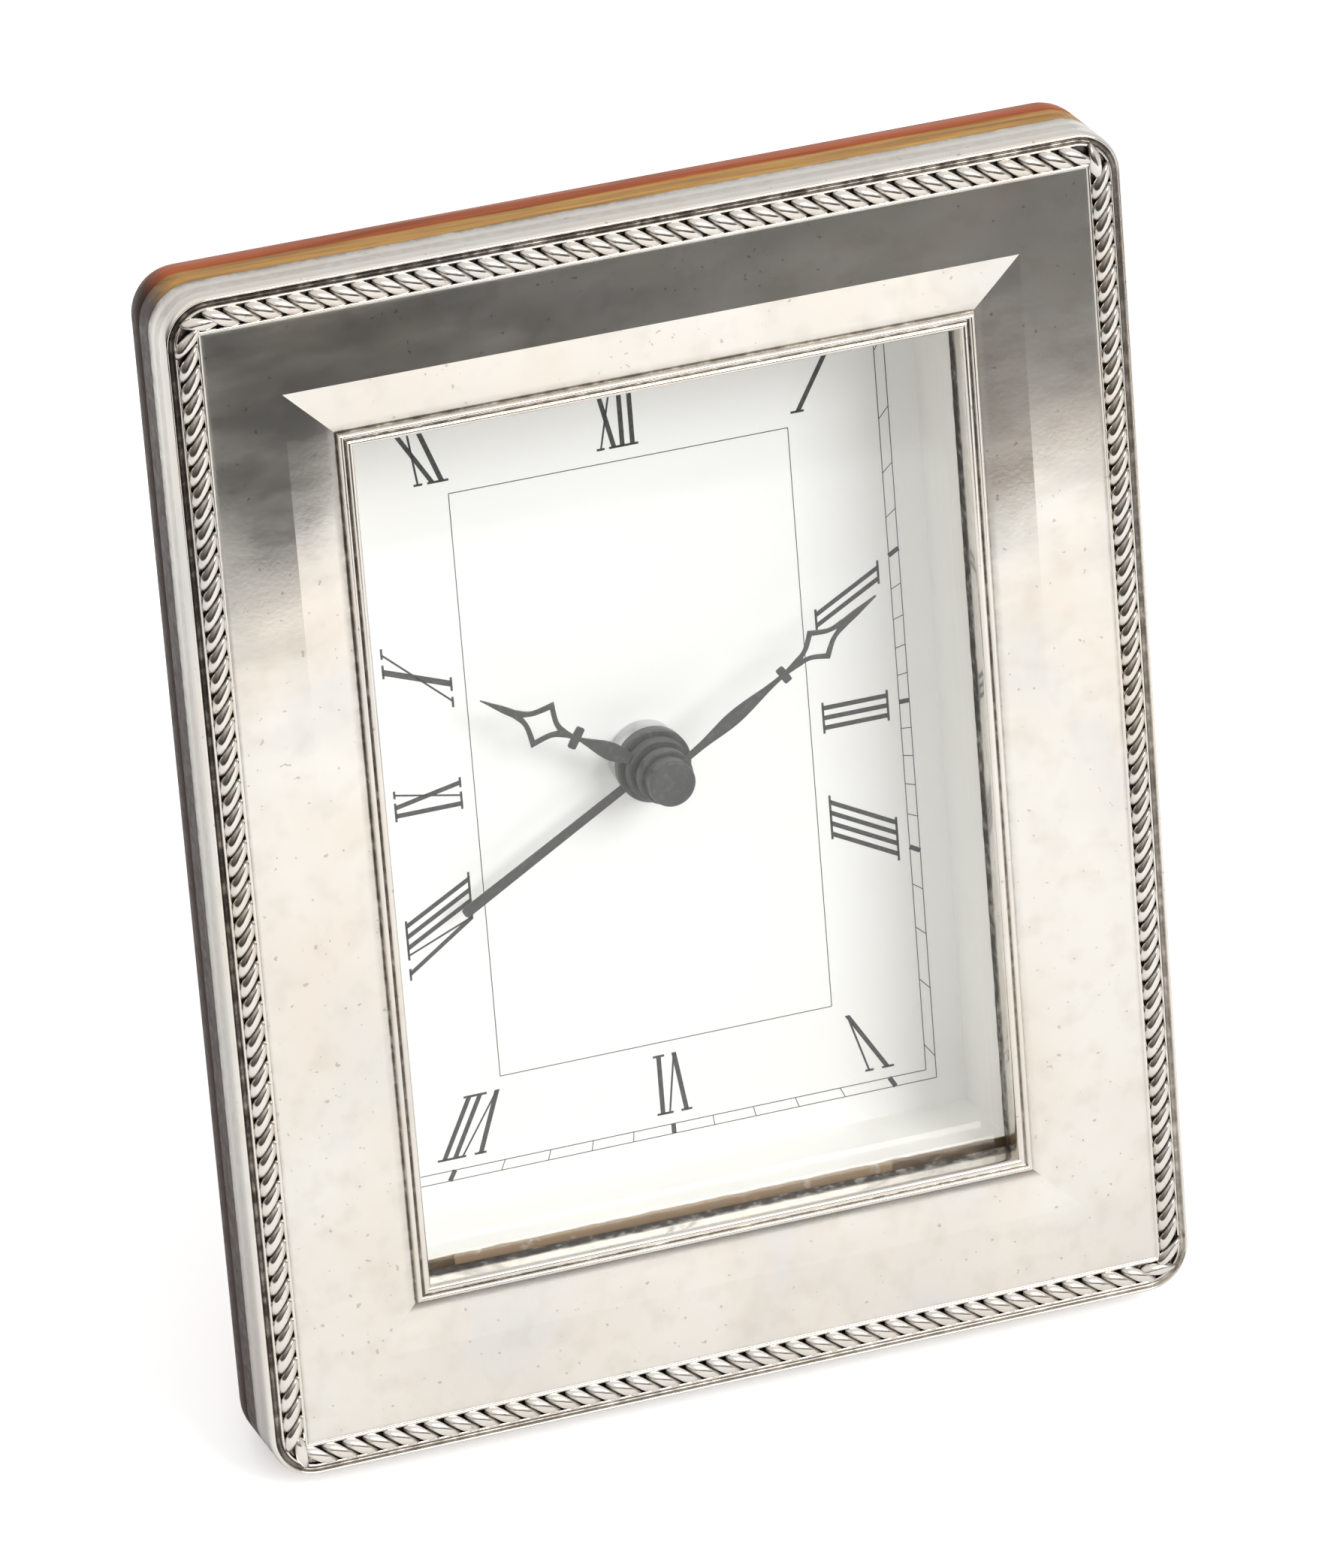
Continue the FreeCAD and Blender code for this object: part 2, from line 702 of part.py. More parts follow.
# Dial plate: a thin white plate behind the liner, with a hole for the movement's bush.
dial_blank = block("dial_blank", GLASS_WIDTH, "dial_thickness", GLASS_HEIGHT,
                   "0 - ( " + GLASS_WIDTH + " ) / 2", "dial_depth",
                   CENTRE_Z + " - ( " + GLASS_HEIGHT + " ) / 2")
dial_hole = rod("dial_hole", "bush_radius + dial_hole_clearance", "dial_thickness + 2 * overrun",
                "arbor_x", "dial_depth - overrun", ARBOR_Z)
keep(cut_from("dial_plate", dial_blank, dial_hole), "dial_plate")


# Back panel: a mahogany board with a step for the dial plate and a hole for the movement.
def back_panel_body():
    body = doc.addObject("PartDesign::Body", "back_panel")
    outline = cross_sketch(body, "panel_outline", "wood_depth", up=CENTRE_Z)
    draw_rectangle(outline, "frame_width - 2 * back_panel_inset", "frame_height - 2 * back_panel_inset")
    core = pad(body, outline, "panel_board", "back_panel_thickness")
    core = fillet(body, core, "panel_corners", "back_panel_corner", runs_deep)
    core = fillet(body, core, "panel_back_edge", "back_panel_edge_radius",
                  lambda edge: lies_at(edge, panel_back))
    step = cross_sketch(body, "panel_step", "wood_depth", up=CENTRE_Z)
    draw_rectangle(step, GLASS_WIDTH + " + 2 * side_gap", GLASS_HEIGHT + " + 2 * side_gap")
    pocket(body, step, "panel_dial_step", CASE_FRONT + " - wood_depth")
    hole = cross_sketch(body, "panel_hole", "wood_depth", "arbor_x", ARBOR_Z)
    draw_rectangle(hole, "movement_width + 2 * movement_gap", "movement_height + 2 * movement_gap")
    core = pocket(body, hole, "panel_movement_hole", "back_panel_thickness + overrun")
    reach = size("movement_width") / 2 + size("movement_gap")
    fillet(body, core, "panel_hole_corners", "movement_corner",
           lambda edge: runs_deep(edge) and abs(abs(edge.BoundBox.Center.x - arbor_x) - reach) < 0.001)
    pocket_round_holes(body, "panel_screw_hole", "screw_shank_radius + running_clearance",
                       "wood_depth", "back_panel_thickness + overrun", screw_places())
    return body


keep(back_panel_body(), "back_panel")


def screw(name, across, up):
    """A round-headed screw driven from the back, with a slot across its head."""
    head = rod(name + "_head", "screw_head_radius", "screw_head_height", across, PANEL_BACK, up)
    shank = rod(name + "_shank", "screw_shank_radius", "screw_length - screw_head_height",
                across, PANEL_BACK + " - screw_length + screw_head_height", up)
    slot = block(name + "_slot", "2 * screw_head_radius", "screw_head_height / 2", "screw_head_height / 3",
                 across + " - screw_head_radius", PANEL_BACK + " + screw_head_height / 2",
                 up + " - screw_head_height / 6")
    return cut_from(name, joined(name + "_blank", [head, shank]), slot)


screws = [screw("panel_screw_%d" % index, *place) for index, place in enumerate(screw_places())]
panel_screws = doc.addObject("Part::Compound", "back_panel_screws")
panel_screws.Links = screws
keep(panel_screws, "back_panel_screws")


# Movement front case: a shallow moulded tray with the bush that passes through the dial.
def front_case_body():
    body = doc.addObject("PartDesign::Body", "movement_front_case")
    outline = cross_sketch(body, "front_case_outline", CASE_FRONT, "arbor_x", ARBOR_Z)
    draw_rectangle(outline, "movement_width", "movement_height")
    core = pad(body, outline, "front_case_block", "front_case_depth")
    fillet(body, core, "front_case_corners", "movement_corner", runs_deep)
    hollow = cross_sketch(body, "front_case_hollow", CASE_FRONT + " + case_wall", "arbor_x", ARBOR_Z)
    draw_rectangle(hollow, "movement_width - 2 * case_wall", "movement_height - 2 * case_wall")
    pocket(body, hollow, "front_case_tray", "front_case_depth")
    bush = cross_sketch(body, "bush_outline", "dial_depth - bush_reach", "arbor_x", ARBOR_Z)
    draw_circle(bush, "bush_radius")
    pad(body, bush, "bush_pillar", "bush_reach + dial_thickness + case_wall")
    bore = cross_sketch(body, "bush_bore", "dial_depth - bush_reach - overrun", "arbor_x", ARBOR_Z)
    draw_circle(bore, "alarm_pipe_radius + running_clearance")
    pocket(body, bore, "bush_hole", "bush_reach + dial_thickness + case_wall + 2 * overrun")
    return body


keep(front_case_body(), "movement_front_case")

# Ring nut: a chromed brass ring that clamps the dial on the bush.
nut_ring = rod("nut_ring", "nut_radius", "nut_height", "arbor_x", "dial_depth - nut_height", ARBOR_Z)
nut_hole = rod("nut_hole", "bush_radius + running_clearance", "nut_height + 2 * overrun",
               "arbor_x", "dial_depth - nut_height - overrun", ARBOR_Z)
keep(cut_from("ring_nut", nut_ring, nut_hole), "ring_nut")

# Depths of the wheels inside the case, from the front wall backwards.
alarm_wheel_depth = case_front + size("case_wall") + wheel_gap
hour_wheel_depth = alarm_wheel_depth + wheel_thickness + wheel_gap
motion_wheel_depth = hour_wheel_depth + wheel_thickness + wheel_gap
motion_distance = size("minute_module") * (size("minute_pinion_teeth") + size("motion_wheel_teeth")) / 2
hour_module = 2 * motion_distance / (size("motion_pinion_teeth") + size("hour_wheel_teeth"))
motion_angle = math.radians(size("motion_angle"))
motion_x = arbor_x + motion_distance * math.cos(motion_angle)
motion_z = arbor_z + motion_distance * math.sin(motion_angle)
alarm_distance = size("alarm_module") * (size("alarm_wheel_teeth") + size("alarm_pinion_teeth")) / 2
alarm_angle = math.radians(size("alarm_angle"))
alarm_x = arbor_x + alarm_distance * math.cos(alarm_angle)
alarm_z = arbor_z + alarm_distance * math.sin(alarm_angle)

ALARM_WHEEL_DEPTH = CASE_FRONT + " + case_wall + wheel_gap"
HOUR_WHEEL_DEPTH = ALARM_WHEEL_DEPTH + " + wheel_thickness + wheel_gap"
MOTION_WHEEL_DEPTH = HOUR_WHEEL_DEPTH + " + wheel_thickness + wheel_gap"
MOTION_DISTANCE = "minute_module * ( minute_pinion_teeth + motion_wheel_teeth ) / 2"
MOTION_X = "arbor_x + " + MOTION_DISTANCE + " * cos( motion_angle )"
MOTION_Z = ARBOR_Z + " + " + MOTION_DISTANCE + " * sin( motion_angle )"
ALARM_DISTANCE = "alarm_module * ( alarm_wheel_teeth + alarm_pinion_teeth ) / 2"
ALARM_X = "arbor_x + " + ALARM_DISTANCE + " * cos( alarm_angle )"
ALARM_Z = ARBOR_Z + " + " + ALARM_DISTANCE + " * sin( alarm_angle )"
BAY_TOP = ARBOR_Z + " - movement_height / 2 + 2 * case_wall + 2 * battery_radius + 2 * bay_gap"


# Movement rear case: closes the tray, and carries the battery in an open bay.
def rear_case_body():
    body = doc.addObject("PartDesign::Body", "movement_rear_case")
    outline = cross_sketch(body, "rear_case_outline", CASE_JOINT, "arbor_x", ARBOR_Z)
    draw_rectangle(outline, "movement_width", "movement_height")
    core = pad(body, outline, "rear_case_block", "rear_case_depth")
    core = fillet(body, core, "rear_case_corners", "movement_corner", runs_deep)
    fillet(body, core, "rear_case_edge", "case_wall / 2", lambda edge: lies_at(edge, case_back))
    trough = cross_sketch(body, "bay_trough", CASE_FRONT + " + case_wall + running_clearance", "arbor_x",
                          BAY_TOP + " - battery_radius - bay_gap")
    draw_rectangle(trough, "movement_width - 2 * case_wall - 2 * running_clearance",
                   "2 * battery_radius + 2 * bay_gap + 2 * case_wall - 2 * running_clearance")
    pad(body, trough, "bay_block", "front_case_depth - case_wall")
    hollow = cross_sketch(body, "rear_case_hollow", CASE_JOINT, "arbor_x",
                          "( " + BAY_TOP + " + case_wall + " + ARBOR_Z
                          + " + movement_height / 2 - case_wall ) / 2")
    draw_rectangle(hollow, "movement_width - 2 * case_wall",
                   ARBOR_Z + " + movement_height / 2 - ( " + BAY_TOP + " ) - 2 * case_wall")
    pocket(body, hollow, "rear_case_room", "rear_case_depth - case_wall")
    bay = cross_sketch(body, "battery_bay", CASE_FRONT + " + case_wall + bay_gap + contact_thickness",
                       "arbor_x", BAY_TOP + " - battery_radius - bay_gap")
    draw_rectangle(bay, "movement_width - 4 * case_wall", "2 * battery_radius + 2 * bay_gap")
    pocket(body, bay, "battery_trough", CASE_BACK)
    for tag, across, up, radius in (("time", "arbor_x", ARBOR_Z, "minute_arbor_radius"),
                                    ("alarm", ALARM_X, ALARM_Z, "knob_shaft_radius")):
        hole = cross_sketch(body, tag + "_shaft_circle", CASE_BACK + " - case_wall - overrun", across, up)
        draw_circle(hole, radius + " + running_clearance")
        pocket(body, hole, tag + "_shaft_hole", "case_wall + 2 * overrun")
    slot = cross_sketch(body, "switch_slot_outline", CASE_BACK + " - case_wall - overrun",
                        "arbor_x + switch_x - switch_travel / 2", ARBOR_Z + " + switch_rise")
    draw_rectangle(slot, "switch_travel + switch_width / 2 + 2 * running_clearance",
                   "switch_height / 2 + 2 * running_clearance")
    pocket(body, slot, "switch_slot", "case_wall + 2 * overrun")
    return body


keep(rear_case_body(), "movement_rear_case")


# Middle plate: carries the motion work's stud, the coil and the circuit board.
def middle_plate():
    plate = block("middle_plate_blank", "movement_width - 2 * case_wall - 2 * side_gap",
                  "middle_plate_thickness",
                  ARBOR_Z + " + movement_height / 2 - ( " + BAY_TOP + " ) - 2 * case_wall - 2 * side_gap",
                  "arbor_x - movement_width / 2 + case_wall + side_gap", CASE_JOINT,
                  BAY_TOP + " + case_wall + side_gap")
    stud = rod("motion_stud", "stud_radius", CASE_JOINT + " - ( " + HOUR_WHEEL_DEPTH + " ) + wheel_gap / 2",
               MOTION_X, HOUR_WHEEL_DEPTH + " - wheel_gap / 2", MOTION_Z)
    time_hole = rod("plate_time_hole", "minute_arbor_radius + running_clearance",
                    "middle_plate_thickness + 2 * overrun", "arbor_x", CASE_JOINT + " - overrun", ARBOR_Z)
    alarm_hole = rod("plate_alarm_hole", "knob_shaft_radius + running_clearance",
                     "middle_plate_thickness + 2 * overrun", ALARM_X, CASE_JOINT + " - overrun", ALARM_Z)
    holes = joined("plate_holes", [time_hole, alarm_hole])
    return cut_from("middle_plate", joined("plate_with_stud", [plate, stud]), holes)


keep(middle_plate(), "middle_plate")


# Wheels: clockwork teeth with radial flanks and pointed tips.
def toothed_face(teeth, module, turned):
    """The outline of a wheel about the origin, one tooth's middle at an angle."""
    teeth = int(teeth)
    pitch_radius = teeth * module / 2
    dedendum_share = 1.25
    tip_radius = pitch_radius + size("addendum_share") * module
    root_radius = pitch_radius - dedendum_share * module
    half = math.pi / (2 * teeth) * (1 - size("tooth_play_share"))
    tip_share = 0.35
    corners = [(root_radius, -half), (pitch_radius, -half), (tip_radius, -half * tip_share),
               (tip_radius, half * tip_share), (pitch_radius, half), (root_radius, half)]
    points = []
    for tooth in range(teeth):
        middle = turned + 2 * math.pi * tooth / teeth
        for radius, angle in corners:
            points.append(Vector(radius * math.cos(middle + angle), 0, radius * math.sin(middle + angle)))
    return Part.Face(Part.makePolygon(points + [points[0]]))


def wheel_solid(teeth, module, turned, across, depth, up, thickness):
    face = toothed_face(teeth, module, turned)
    face.translate(Vector(across, depth, up))
    return face.extrude(Vector(0, thickness, 0))


def ring_solid(outer, inner, across, depth, up, length):
    """A pipe along the depth, or a solid bar where the inner radius is zero."""
    bar = Part.makeCylinder(outer, length, Vector(across, depth, up), Vector(0, 1, 0))
    if inner > 0:
        start = Vector(across, depth - overrun, up)
        bar = bar.cut(Part.makeCylinder(inner, length + 2 * overrun, start, Vector(0, 1, 0)))
    return bar


hand_thickness = size("hand_thickness")
boss_height = size("boss_height")
alarm_hand_depth = dial_depth - size("alarm_hand_height")
hour_hand_depth = dial_depth - size("hour_hand_height")
minute_hand_depth = dial_depth - size("minute_hand_height")
minute_radius = size("minute_arbor_radius")
hour_radius = size("hour_pipe_radius")
alarm_radius = size("alarm_pipe_radius")
half_tooth_turn = math.pi / size("motion_wheel_teeth")


def minute_arbor_shape():
    """A steel arbor from the centre cap to the setting knob, with its pinion on it."""
    front = minute_hand_depth - boss_height / 2
    bar = ring_solid(minute_radius, 0, arbor_x, front, arbor_z, case_back + size("knob_gap") - front)
    pinion = wheel_solid(size("minute_pinion_teeth"), size("minute_module"), motion_angle,
                         arbor_x, motion_wheel_depth, arbor_z, wheel_thickness)
    return bar.fuse(pinion)


def hour_wheel_shape():
    front = hour_hand_depth - boss_height / 2
    bore = minute_radius + clearance
    pipe = ring_solid(hour_radius, 0, arbor_x, front, arbor_z, hour_wheel_depth - front + wheel_thickness)
    turned = motion_angle + math.pi / size("hour_wheel_teeth")
    wheel = wheel_solid(size("hour_wheel_teeth"), hour_module, turned,
                        arbor_x, hour_wheel_depth, arbor_z, wheel_thickness)
    hole = ring_solid(bore, 0, arbor_x, front - overrun, arbor_z, hour_wheel_depth - front + 3 * overrun)
    return pipe.fuse(wheel).cut(hole)


def alarm_wheel_shape():
    front = alarm_hand_depth - boss_height / 2
    bore = hour_radius + clearance
    pipe = ring_solid(alarm_radius, 0, arbor_x, front, arbor_z, alarm_wheel_depth - front + wheel_thickness)
    wheel = wheel_solid(size("alarm_wheel_teeth"), size("alarm_module"), alarm_angle,
                        arbor_x, alarm_wheel_depth, arbor_z, wheel_thickness)
    hole = ring_solid(bore, 0, arbor_x, front - overrun, arbor_z, alarm_wheel_depth - front + 3 * overrun)
    return pipe.fuse(wheel).cut(hole)


def motion_wheel_shape():
    """The wheel and pinion that bring the minute arbor's turns down to the hour wheel."""
    turned = motion_angle + math.pi
    pinion = wheel_solid(size("motion_pinion_teeth"), hour_module, turned,
                         motion_x, hour_wheel_depth, motion_z, motion_wheel_depth - hour_wheel_depth)
    wheel = wheel_solid(size("motion_wheel_teeth"), size("minute_module"), turned + half_tooth_turn,
                        motion_x, motion_wheel_depth, motion_z, wheel_thickness)
    hole = ring_solid(size("stud_radius") + clearance, 0, motion_x, hour_wheel_depth - overrun, motion_z,
                      3 * overrun + wheel_thickness)
    return pinion.fuse(wheel).cut(hole)


keep(shaped("minute_arbor", minute_arbor_shape()), "minute_arbor")
keep(shaped("hour_wheel", hour_wheel_shape()), "hour_wheel")
keep(shaped("alarm_wheel", alarm_wheel_shape()), "alarm_wheel")
keep(shaped("motion_wheel", motion_wheel_shape()), "motion_wheel")


# Hands: stamped sheet with a pressed boss, painted black.
def hand_face(outline, hole=None):
    """A flat blank from half of its outline, given as (along, half width) places."""
    def loop(places):
        left = [Vector(-wide, 0, along) for along, wide in places]
        right = [Vector(wide, 0, along) for along, wide in reversed(places)]
        points = left + [point for point in right if abs(point.x) > 0]
        return Part.makePolygon(points + [points[0]])
    face = Part.Face(loop(outline))
    if hole:
        face = face.cut(Part.Face(loop(hole)))
    return face


def spade_hand(length, boss_radius, width_share, shares):
    """A hand with a long blade, a small collar and an open diamond before its point."""
    centre_share = 0.25
    boss_share = 0.24
    belly_place_share = 0.62
    belly_share = 0.33
    neck_share = 0.13
    collar_length_share = 0.021
    collar_share = 0.45
    stem_share = 0.15
    joint_share = 0.2
    concave_share = 0.42
    tip_share = 0.07
    hole_share = 0.7
    hole_side_share = 0.3
    collar, inner, corner_place, outer = [length * share for share in shares]
    wide = length * width_share
    collar_half = length * collar_length_share
    inner_mid = (inner + corner_place) / 2
    outer_mid = (outer + corner_place) / 2
    outline = [(0, boss_radius * centre_share), (boss_radius, wide * boss_share),
               (collar * belly_place_share, wide * belly_share),
               (collar - collar_half, wide * neck_share), (collar - collar_half, wide * collar_share),
               (collar + collar_half, wide * collar_share), (collar + collar_half, wide * stem_share),
               (inner, wide * joint_share), (inner_mid, wide * concave_share), (corner_place, wide),
               (outer_mid, wide * concave_share), (outer, wide * joint_share), (length, wide * tip_share)]
    hole = [(inner + collar_half, 0), (inner_mid + collar_half, wide * hole_side_share),
            (corner_place, wide * hole_share),
            (outer_mid - collar_half, wide * hole_side_share), (outer - collar_half, 0)]
    return hand_face(outline, hole)


def bar_hand(length, boss_radius):
    """The alarm hand: a plain bar that widens a little to a blunt end."""
    root_share = 0.0147
    end_share = 0.0196
    return hand_face([(0, length * root_share), (boss_radius, length * root_share),
                      (length, length * end_share)])


def hand_shape(face, angle, depth, boss_radius, bore):
    blade = face.extrude(Vector(0, hand_thickness, 0))
    blade.rotate(Vector(0, 0, 0), Vector(0, 1, 0), angle)
    blade.translate(Vector(arbor_x, depth, arbor_z))
    boss = ring_solid(boss_radius, 0, arbor_x, depth - boss_height / 2 + hand_thickness, arbor_z, boss_height)
    hole = ring_solid(bore, 0, arbor_x, depth - boss_height - overrun, arbor_z, 2 * boss_height + 2 * overrun)
    return blade.fuse(boss).cut(hole)


hour_shares = (0.4745, 0.545, 0.658, 0.795)
hour_width_share = 0.123
minute_shares = (0.563, 0.625, 0.7185, 0.815)
minute_width_share = 0.066
alarm_hand = hand_shape(bar_hand(size("alarm_hand_length"), size("alarm_boss_radius")),
                        size("alarm_hand_angle"), alarm_hand_depth, size("alarm_boss_radius"), alarm_radius)
hour_hand = hand_shape(spade_hand(size("hour_hand_length"), size("hour_boss_radius"),
                                  hour_width_share, hour_shares),
                       size("hour_hand_angle"), hour_hand_depth, size("hour_boss_radius"), hour_radius)
minute_hand = hand_shape(spade_hand(size("minute_hand_length"), size("minute_boss_radius"),
                                    minute_width_share, minute_shares),
                         size("minute_hand_angle"), minute_hand_depth, size("minute_boss_radius"),
                         minute_radius)
keep(shaped("alarm_hand", alarm_hand), "alarm_hand")
keep(shaped("hour_hand", hour_hand), "hour_hand")
keep(shaped("minute_hand", minute_hand), "minute_hand")


# Centre cap: a turned black cap pushed on the end of the minute arbor.
def cap_body():
    body = doc.addObject("PartDesign::Body", "centre_cap")
    base_depth = "dial_depth - minute_hand_height - boss_height / 2 + hand_thickness"
    outline = cross_sketch(body, "cap_outline", base_depth + " - cap_height", "arbor_x", ARBOR_Z)
    draw_circle(outline, "cap_radius")
    core = pad(body, outline, "cap_disc", "cap_height")
    front = minute_hand_depth - boss_height / 2 + hand_thickness - size("cap_height")
    fillet(body, core, "cap_edge", "cap_height / 5", lambda edge: lies_at(edge, front))
    seat = cross_sketch(body, "cap_seat_outline", base_depth + " - cap_height / 2", "arbor_x", ARBOR_Z)
    draw_circle(seat, "minute_arbor_radius")
    pocket(body, seat, "cap_seat", "cap_height")
    return body


keep(cap_body(), "centre_cap")


# Setting knobs: fluted buttons at the back, one on the minute arbor and one on the alarm pinion.
def knob_body(name, radius, across, up, shaft_radius, shaft_start):
    body = doc.addObject("PartDesign::Body", name)
    start = CASE_BACK + " + knob_gap"
    disc = cross_sketch(body, name + "_outline", start, across, up)
    draw_circle(disc, radius)
    pad(body, disc, name + "_disc", "knob_height")
    flute = cross_sketch(body, name + "_flute_outline", start, across + " + " + radius, up)
    draw_circle(flute, "flute_radius")
    groove = pocket(body, flute, name + "_flute", "knob_height + overrun")
    pattern = body.newObject("PartDesign::PolarPattern", name + "_flutes")
    pattern.Originals = [groove]
    pattern.Axis = (disc, ["N_Axis"])
    pattern.Angle = 360
    pattern.Occurrences = int(size("flute_count"))
    body.Tip = pattern
    doc.recompute()
    if shaft_start:
        shaft = cross_sketch(body, name + "_shaft_outline", shaft_start, across, up)
        draw_circle(shaft, shaft_radius)
        pad(body, shaft, name + "_shaft", start + " - ( " + shaft_start + " )")
    return body


keep(knob_body("time_set_knob", "time_knob_radius", "arbor_x", ARBOR_Z, "minute_arbor_radius", None),
     "time_set_knob")
keep(knob_body("alarm_set_knob", "alarm_knob_radius", ALARM_X, ALARM_Z, "knob_shaft_radius",
               ALARM_WHEEL_DEPTH + " + wheel_thickness"), "alarm_set_knob")
alarm_pinion = wheel_solid(size("alarm_pinion_teeth"), size("alarm_module"),
                           alarm_angle + math.pi + math.pi / size("alarm_pinion_teeth"),
                           alarm_x, alarm_wheel_depth, alarm_z, wheel_thickness)
keep(shaped("alarm_pinion", alarm_pinion), "alarm_pinion")


# Alarm switch: a button on the back with a neck through the slot and a keeper inside.
def alarm_switch():
    left = "arbor_x + switch_x"
    up = ARBOR_Z + " + switch_rise"
    button = block("switch_button", "switch_width", "switch_width / 2", "switch_height",
                   left + " - switch_width / 2", CASE_BACK + " + running_clearance",
                   up + " - switch_height / 2")
    neck = block("switch_neck", "switch_width / 2", "case_wall + 2 * running_clearance", "switch_height / 2",
                 left + " - switch_width / 4", CASE_BACK + " - case_wall - running_clearance",
                 up + " - switch_height / 4")
    keeper = block("switch_keeper", "switch_width", "case_wall / 2", "switch_height",
                   left + " - switch_width / 2",
                   CASE_BACK + " - case_wall - case_wall / 2 - running_clearance",
                   up + " - switch_height / 2")
    return joined("alarm_switch", [button, neck, keeper])


keep(alarm_switch(), "alarm_switch")

# Battery and its contacts, in the bay.
BAY_MIDDLE_DEPTH = CASE_FRONT + " + case_wall + bay_gap + contact_thickness + battery_radius"
BAY_MIDDLE_UP = BAY_TOP + " - battery_radius - bay_gap"
BAY_HALF = "( movement_width / 2 - 2 * case_wall )"
BUTTON_FOOT = "arbor_x + " + BAY_HALF + " - contact_thickness - battery_button_length"
battery_can = cross_rod("battery_can", "battery_radius", "battery_length",
                        BUTTON_FOOT + " - battery_length", BAY_MIDDLE_DEPTH, BAY_MIDDLE_UP)
battery_button = cross_rod("battery_button", "battery_button_radius", "battery_button_length",
                           BUTTON_FOOT, BAY_MIDDLE_DEPTH, BAY_MIDDLE_UP)
keep(joined("battery", [battery_can, battery_button]), "battery")
for name, left in (("battery_contact_minus", "arbor_x - " + BAY_HALF),
                   ("battery_contact_plus", "arbor_x + " + BAY_HALF + " - contact_thickness")):
    contact = block(name, "contact_thickness", "contact_depth_share * battery_radius",
                    "contact_height_share * battery_radius", left,
                    BAY_MIDDLE_DEPTH + " - contact_depth_share * battery_radius / 2",
                    BAY_MIDDLE_UP + " - contact_height_share * battery_radius / 2")
    keep(contact, name)

# Coil on its iron core, circuit board and sounder, all on the middle plate or the rear wall.
PLATE_BACK = CASE_JOINT + " + middle_plate_thickness"
ROOM_UP = ARBOR_Z + " + movement_height / 2 - case_wall"
CORE_LEFT = "arbor_x - movement_width / 2 + case_wall + coil_margin"
BOARD_LEFT = CORE_LEFT + " + coil_length + 2 * coil_radius + board_gap"
coil_winding = cross_rod("coil_winding", "coil_radius", "coil_length", CORE_LEFT + " + coil_radius",
                         PLATE_BACK + " + coil_radius", ROOM_UP + " - 2 * coil_radius")
coil_core = block("coil_core", "coil_length + 2 * coil_radius", "coil_radius",
                  "coil_core_share * coil_radius",
                  CORE_LEFT, PLATE_BACK,
                  ROOM_UP + " - 2 * coil_radius - coil_core_share * coil_radius / 2")
keep(joined("coil", [coil_winding, coil_core]), "coil")
BOARD_WIDTH = "arbor_x + movement_width / 2 - case_wall - board_margin - ( " + BOARD_LEFT + " )"
circuit_board = block("circuit_board", BOARD_WIDTH,
                      "board_thickness", "board_height", BOARD_LEFT, PLATE_BACK,
                      ROOM_UP + " - board_height - 2 * board_thickness")
keep(circuit_board, "circuit_board")
buzzer = rod("buzzer", "buzzer_radius", "buzzer_thickness",
             "arbor_x - minute_arbor_radius - buzzer_gap - buzzer_radius",
             CASE_BACK + " - case_wall - buzzer_thickness",
             BAY_TOP + " + case_wall + buzzer_margin + buzzer_radius")
keep(buzzer, "buzzer")

# Easel strut and butt hinge. The pin lies just behind the back panel, and everything that
# swings is drawn folded flat and then opened by the strut's angle.
hinge_depth = panel_back + size("hinge_barrel_radius")
HINGE_DEPTH = PANEL_BACK + " + hinge_barrel_radius"
pin_hole_radius = size("hinge_pin_radius") + clearance
leaf_thickness = size("hinge_leaf_thickness")
barrel_radius = size("hinge_barrel_radius")
hinge_half = size("hinge_width") / 2
knuckle_gap = size("hinge_knuckle_gap")
hinge_rise = size("hinge_rise")
leaf_length = size("hinge_leaf_length")
leaf_back = panel_back + leaf_thickness
moving_front = leaf_back + knuckle_gap


def side_block(left, right, front, back, bottom, top):
    return Part.makeBox(right - left, back - front, top - bottom, Vector(left, front, bottom))


def knuckle(left, right):
    return Part.makeCylinder(barrel_radius, right - left, Vector(left, hinge_depth, hinge_rise),
                             Vector(1, 0, 0))


def leaf_screw_places():
    """Two screws on a leaf, as places across and up."""
    up = hinge_rise - leaf_length * size("leaf_screw_drop_share")
    spread = hinge_half * size("leaf_screw_spread_share")
    return [(-spread, up), (spread, up)]


def countersunk(across, up, face, direction, grow):
    """A countersunk screw or, grown by a clearance, its hole; the head is flush with the face."""
    shank_radius = size("leaf_screw_radius") + grow
    head_radius = 2 * size("leaf_screw_radius") + grow
    start = Vector(across, face, up)
    way = Vector(0, direction, 0)
    head = Part.makeCone(head_radius, shank_radius, leaf_thickness, start, way)
    shank = Part.makeCylinder(shank_radius, size("leaf_screw_length") + grow, start, way)
    return head.fuse(shank)


def leaf_shape(front, back, knuckles, others, screw_face, direction):
    """One hinge leaf: a plate joined to its own knuckles and cleared round the other's."""
    plate = side_block(-hinge_half, hinge_half, front, back, hinge_rise - leaf_length, hinge_rise)
    for left, right in others:
        plate = plate.cut(side_block(left - knuckle_gap, right + knuckle_gap, front - overrun, back + overrun,
                                     hinge_rise - barrel_radius - 2 * knuckle_gap, hinge_rise + overrun))
    for left, right in knuckles:
        plate = plate.fuse(knuckle(left, right))
    bore = Part.makeCylinder(pin_hole_radius, 4 * hinge_half,
                             Vector(-2 * hinge_half, hinge_depth, hinge_rise), Vector(1, 0, 0))
    plate = plate.cut(bore)
    for across, up in leaf_screw_places():
        plate = plate.cut(countersunk(across, up, screw_face, direction, clearance))
    return plate


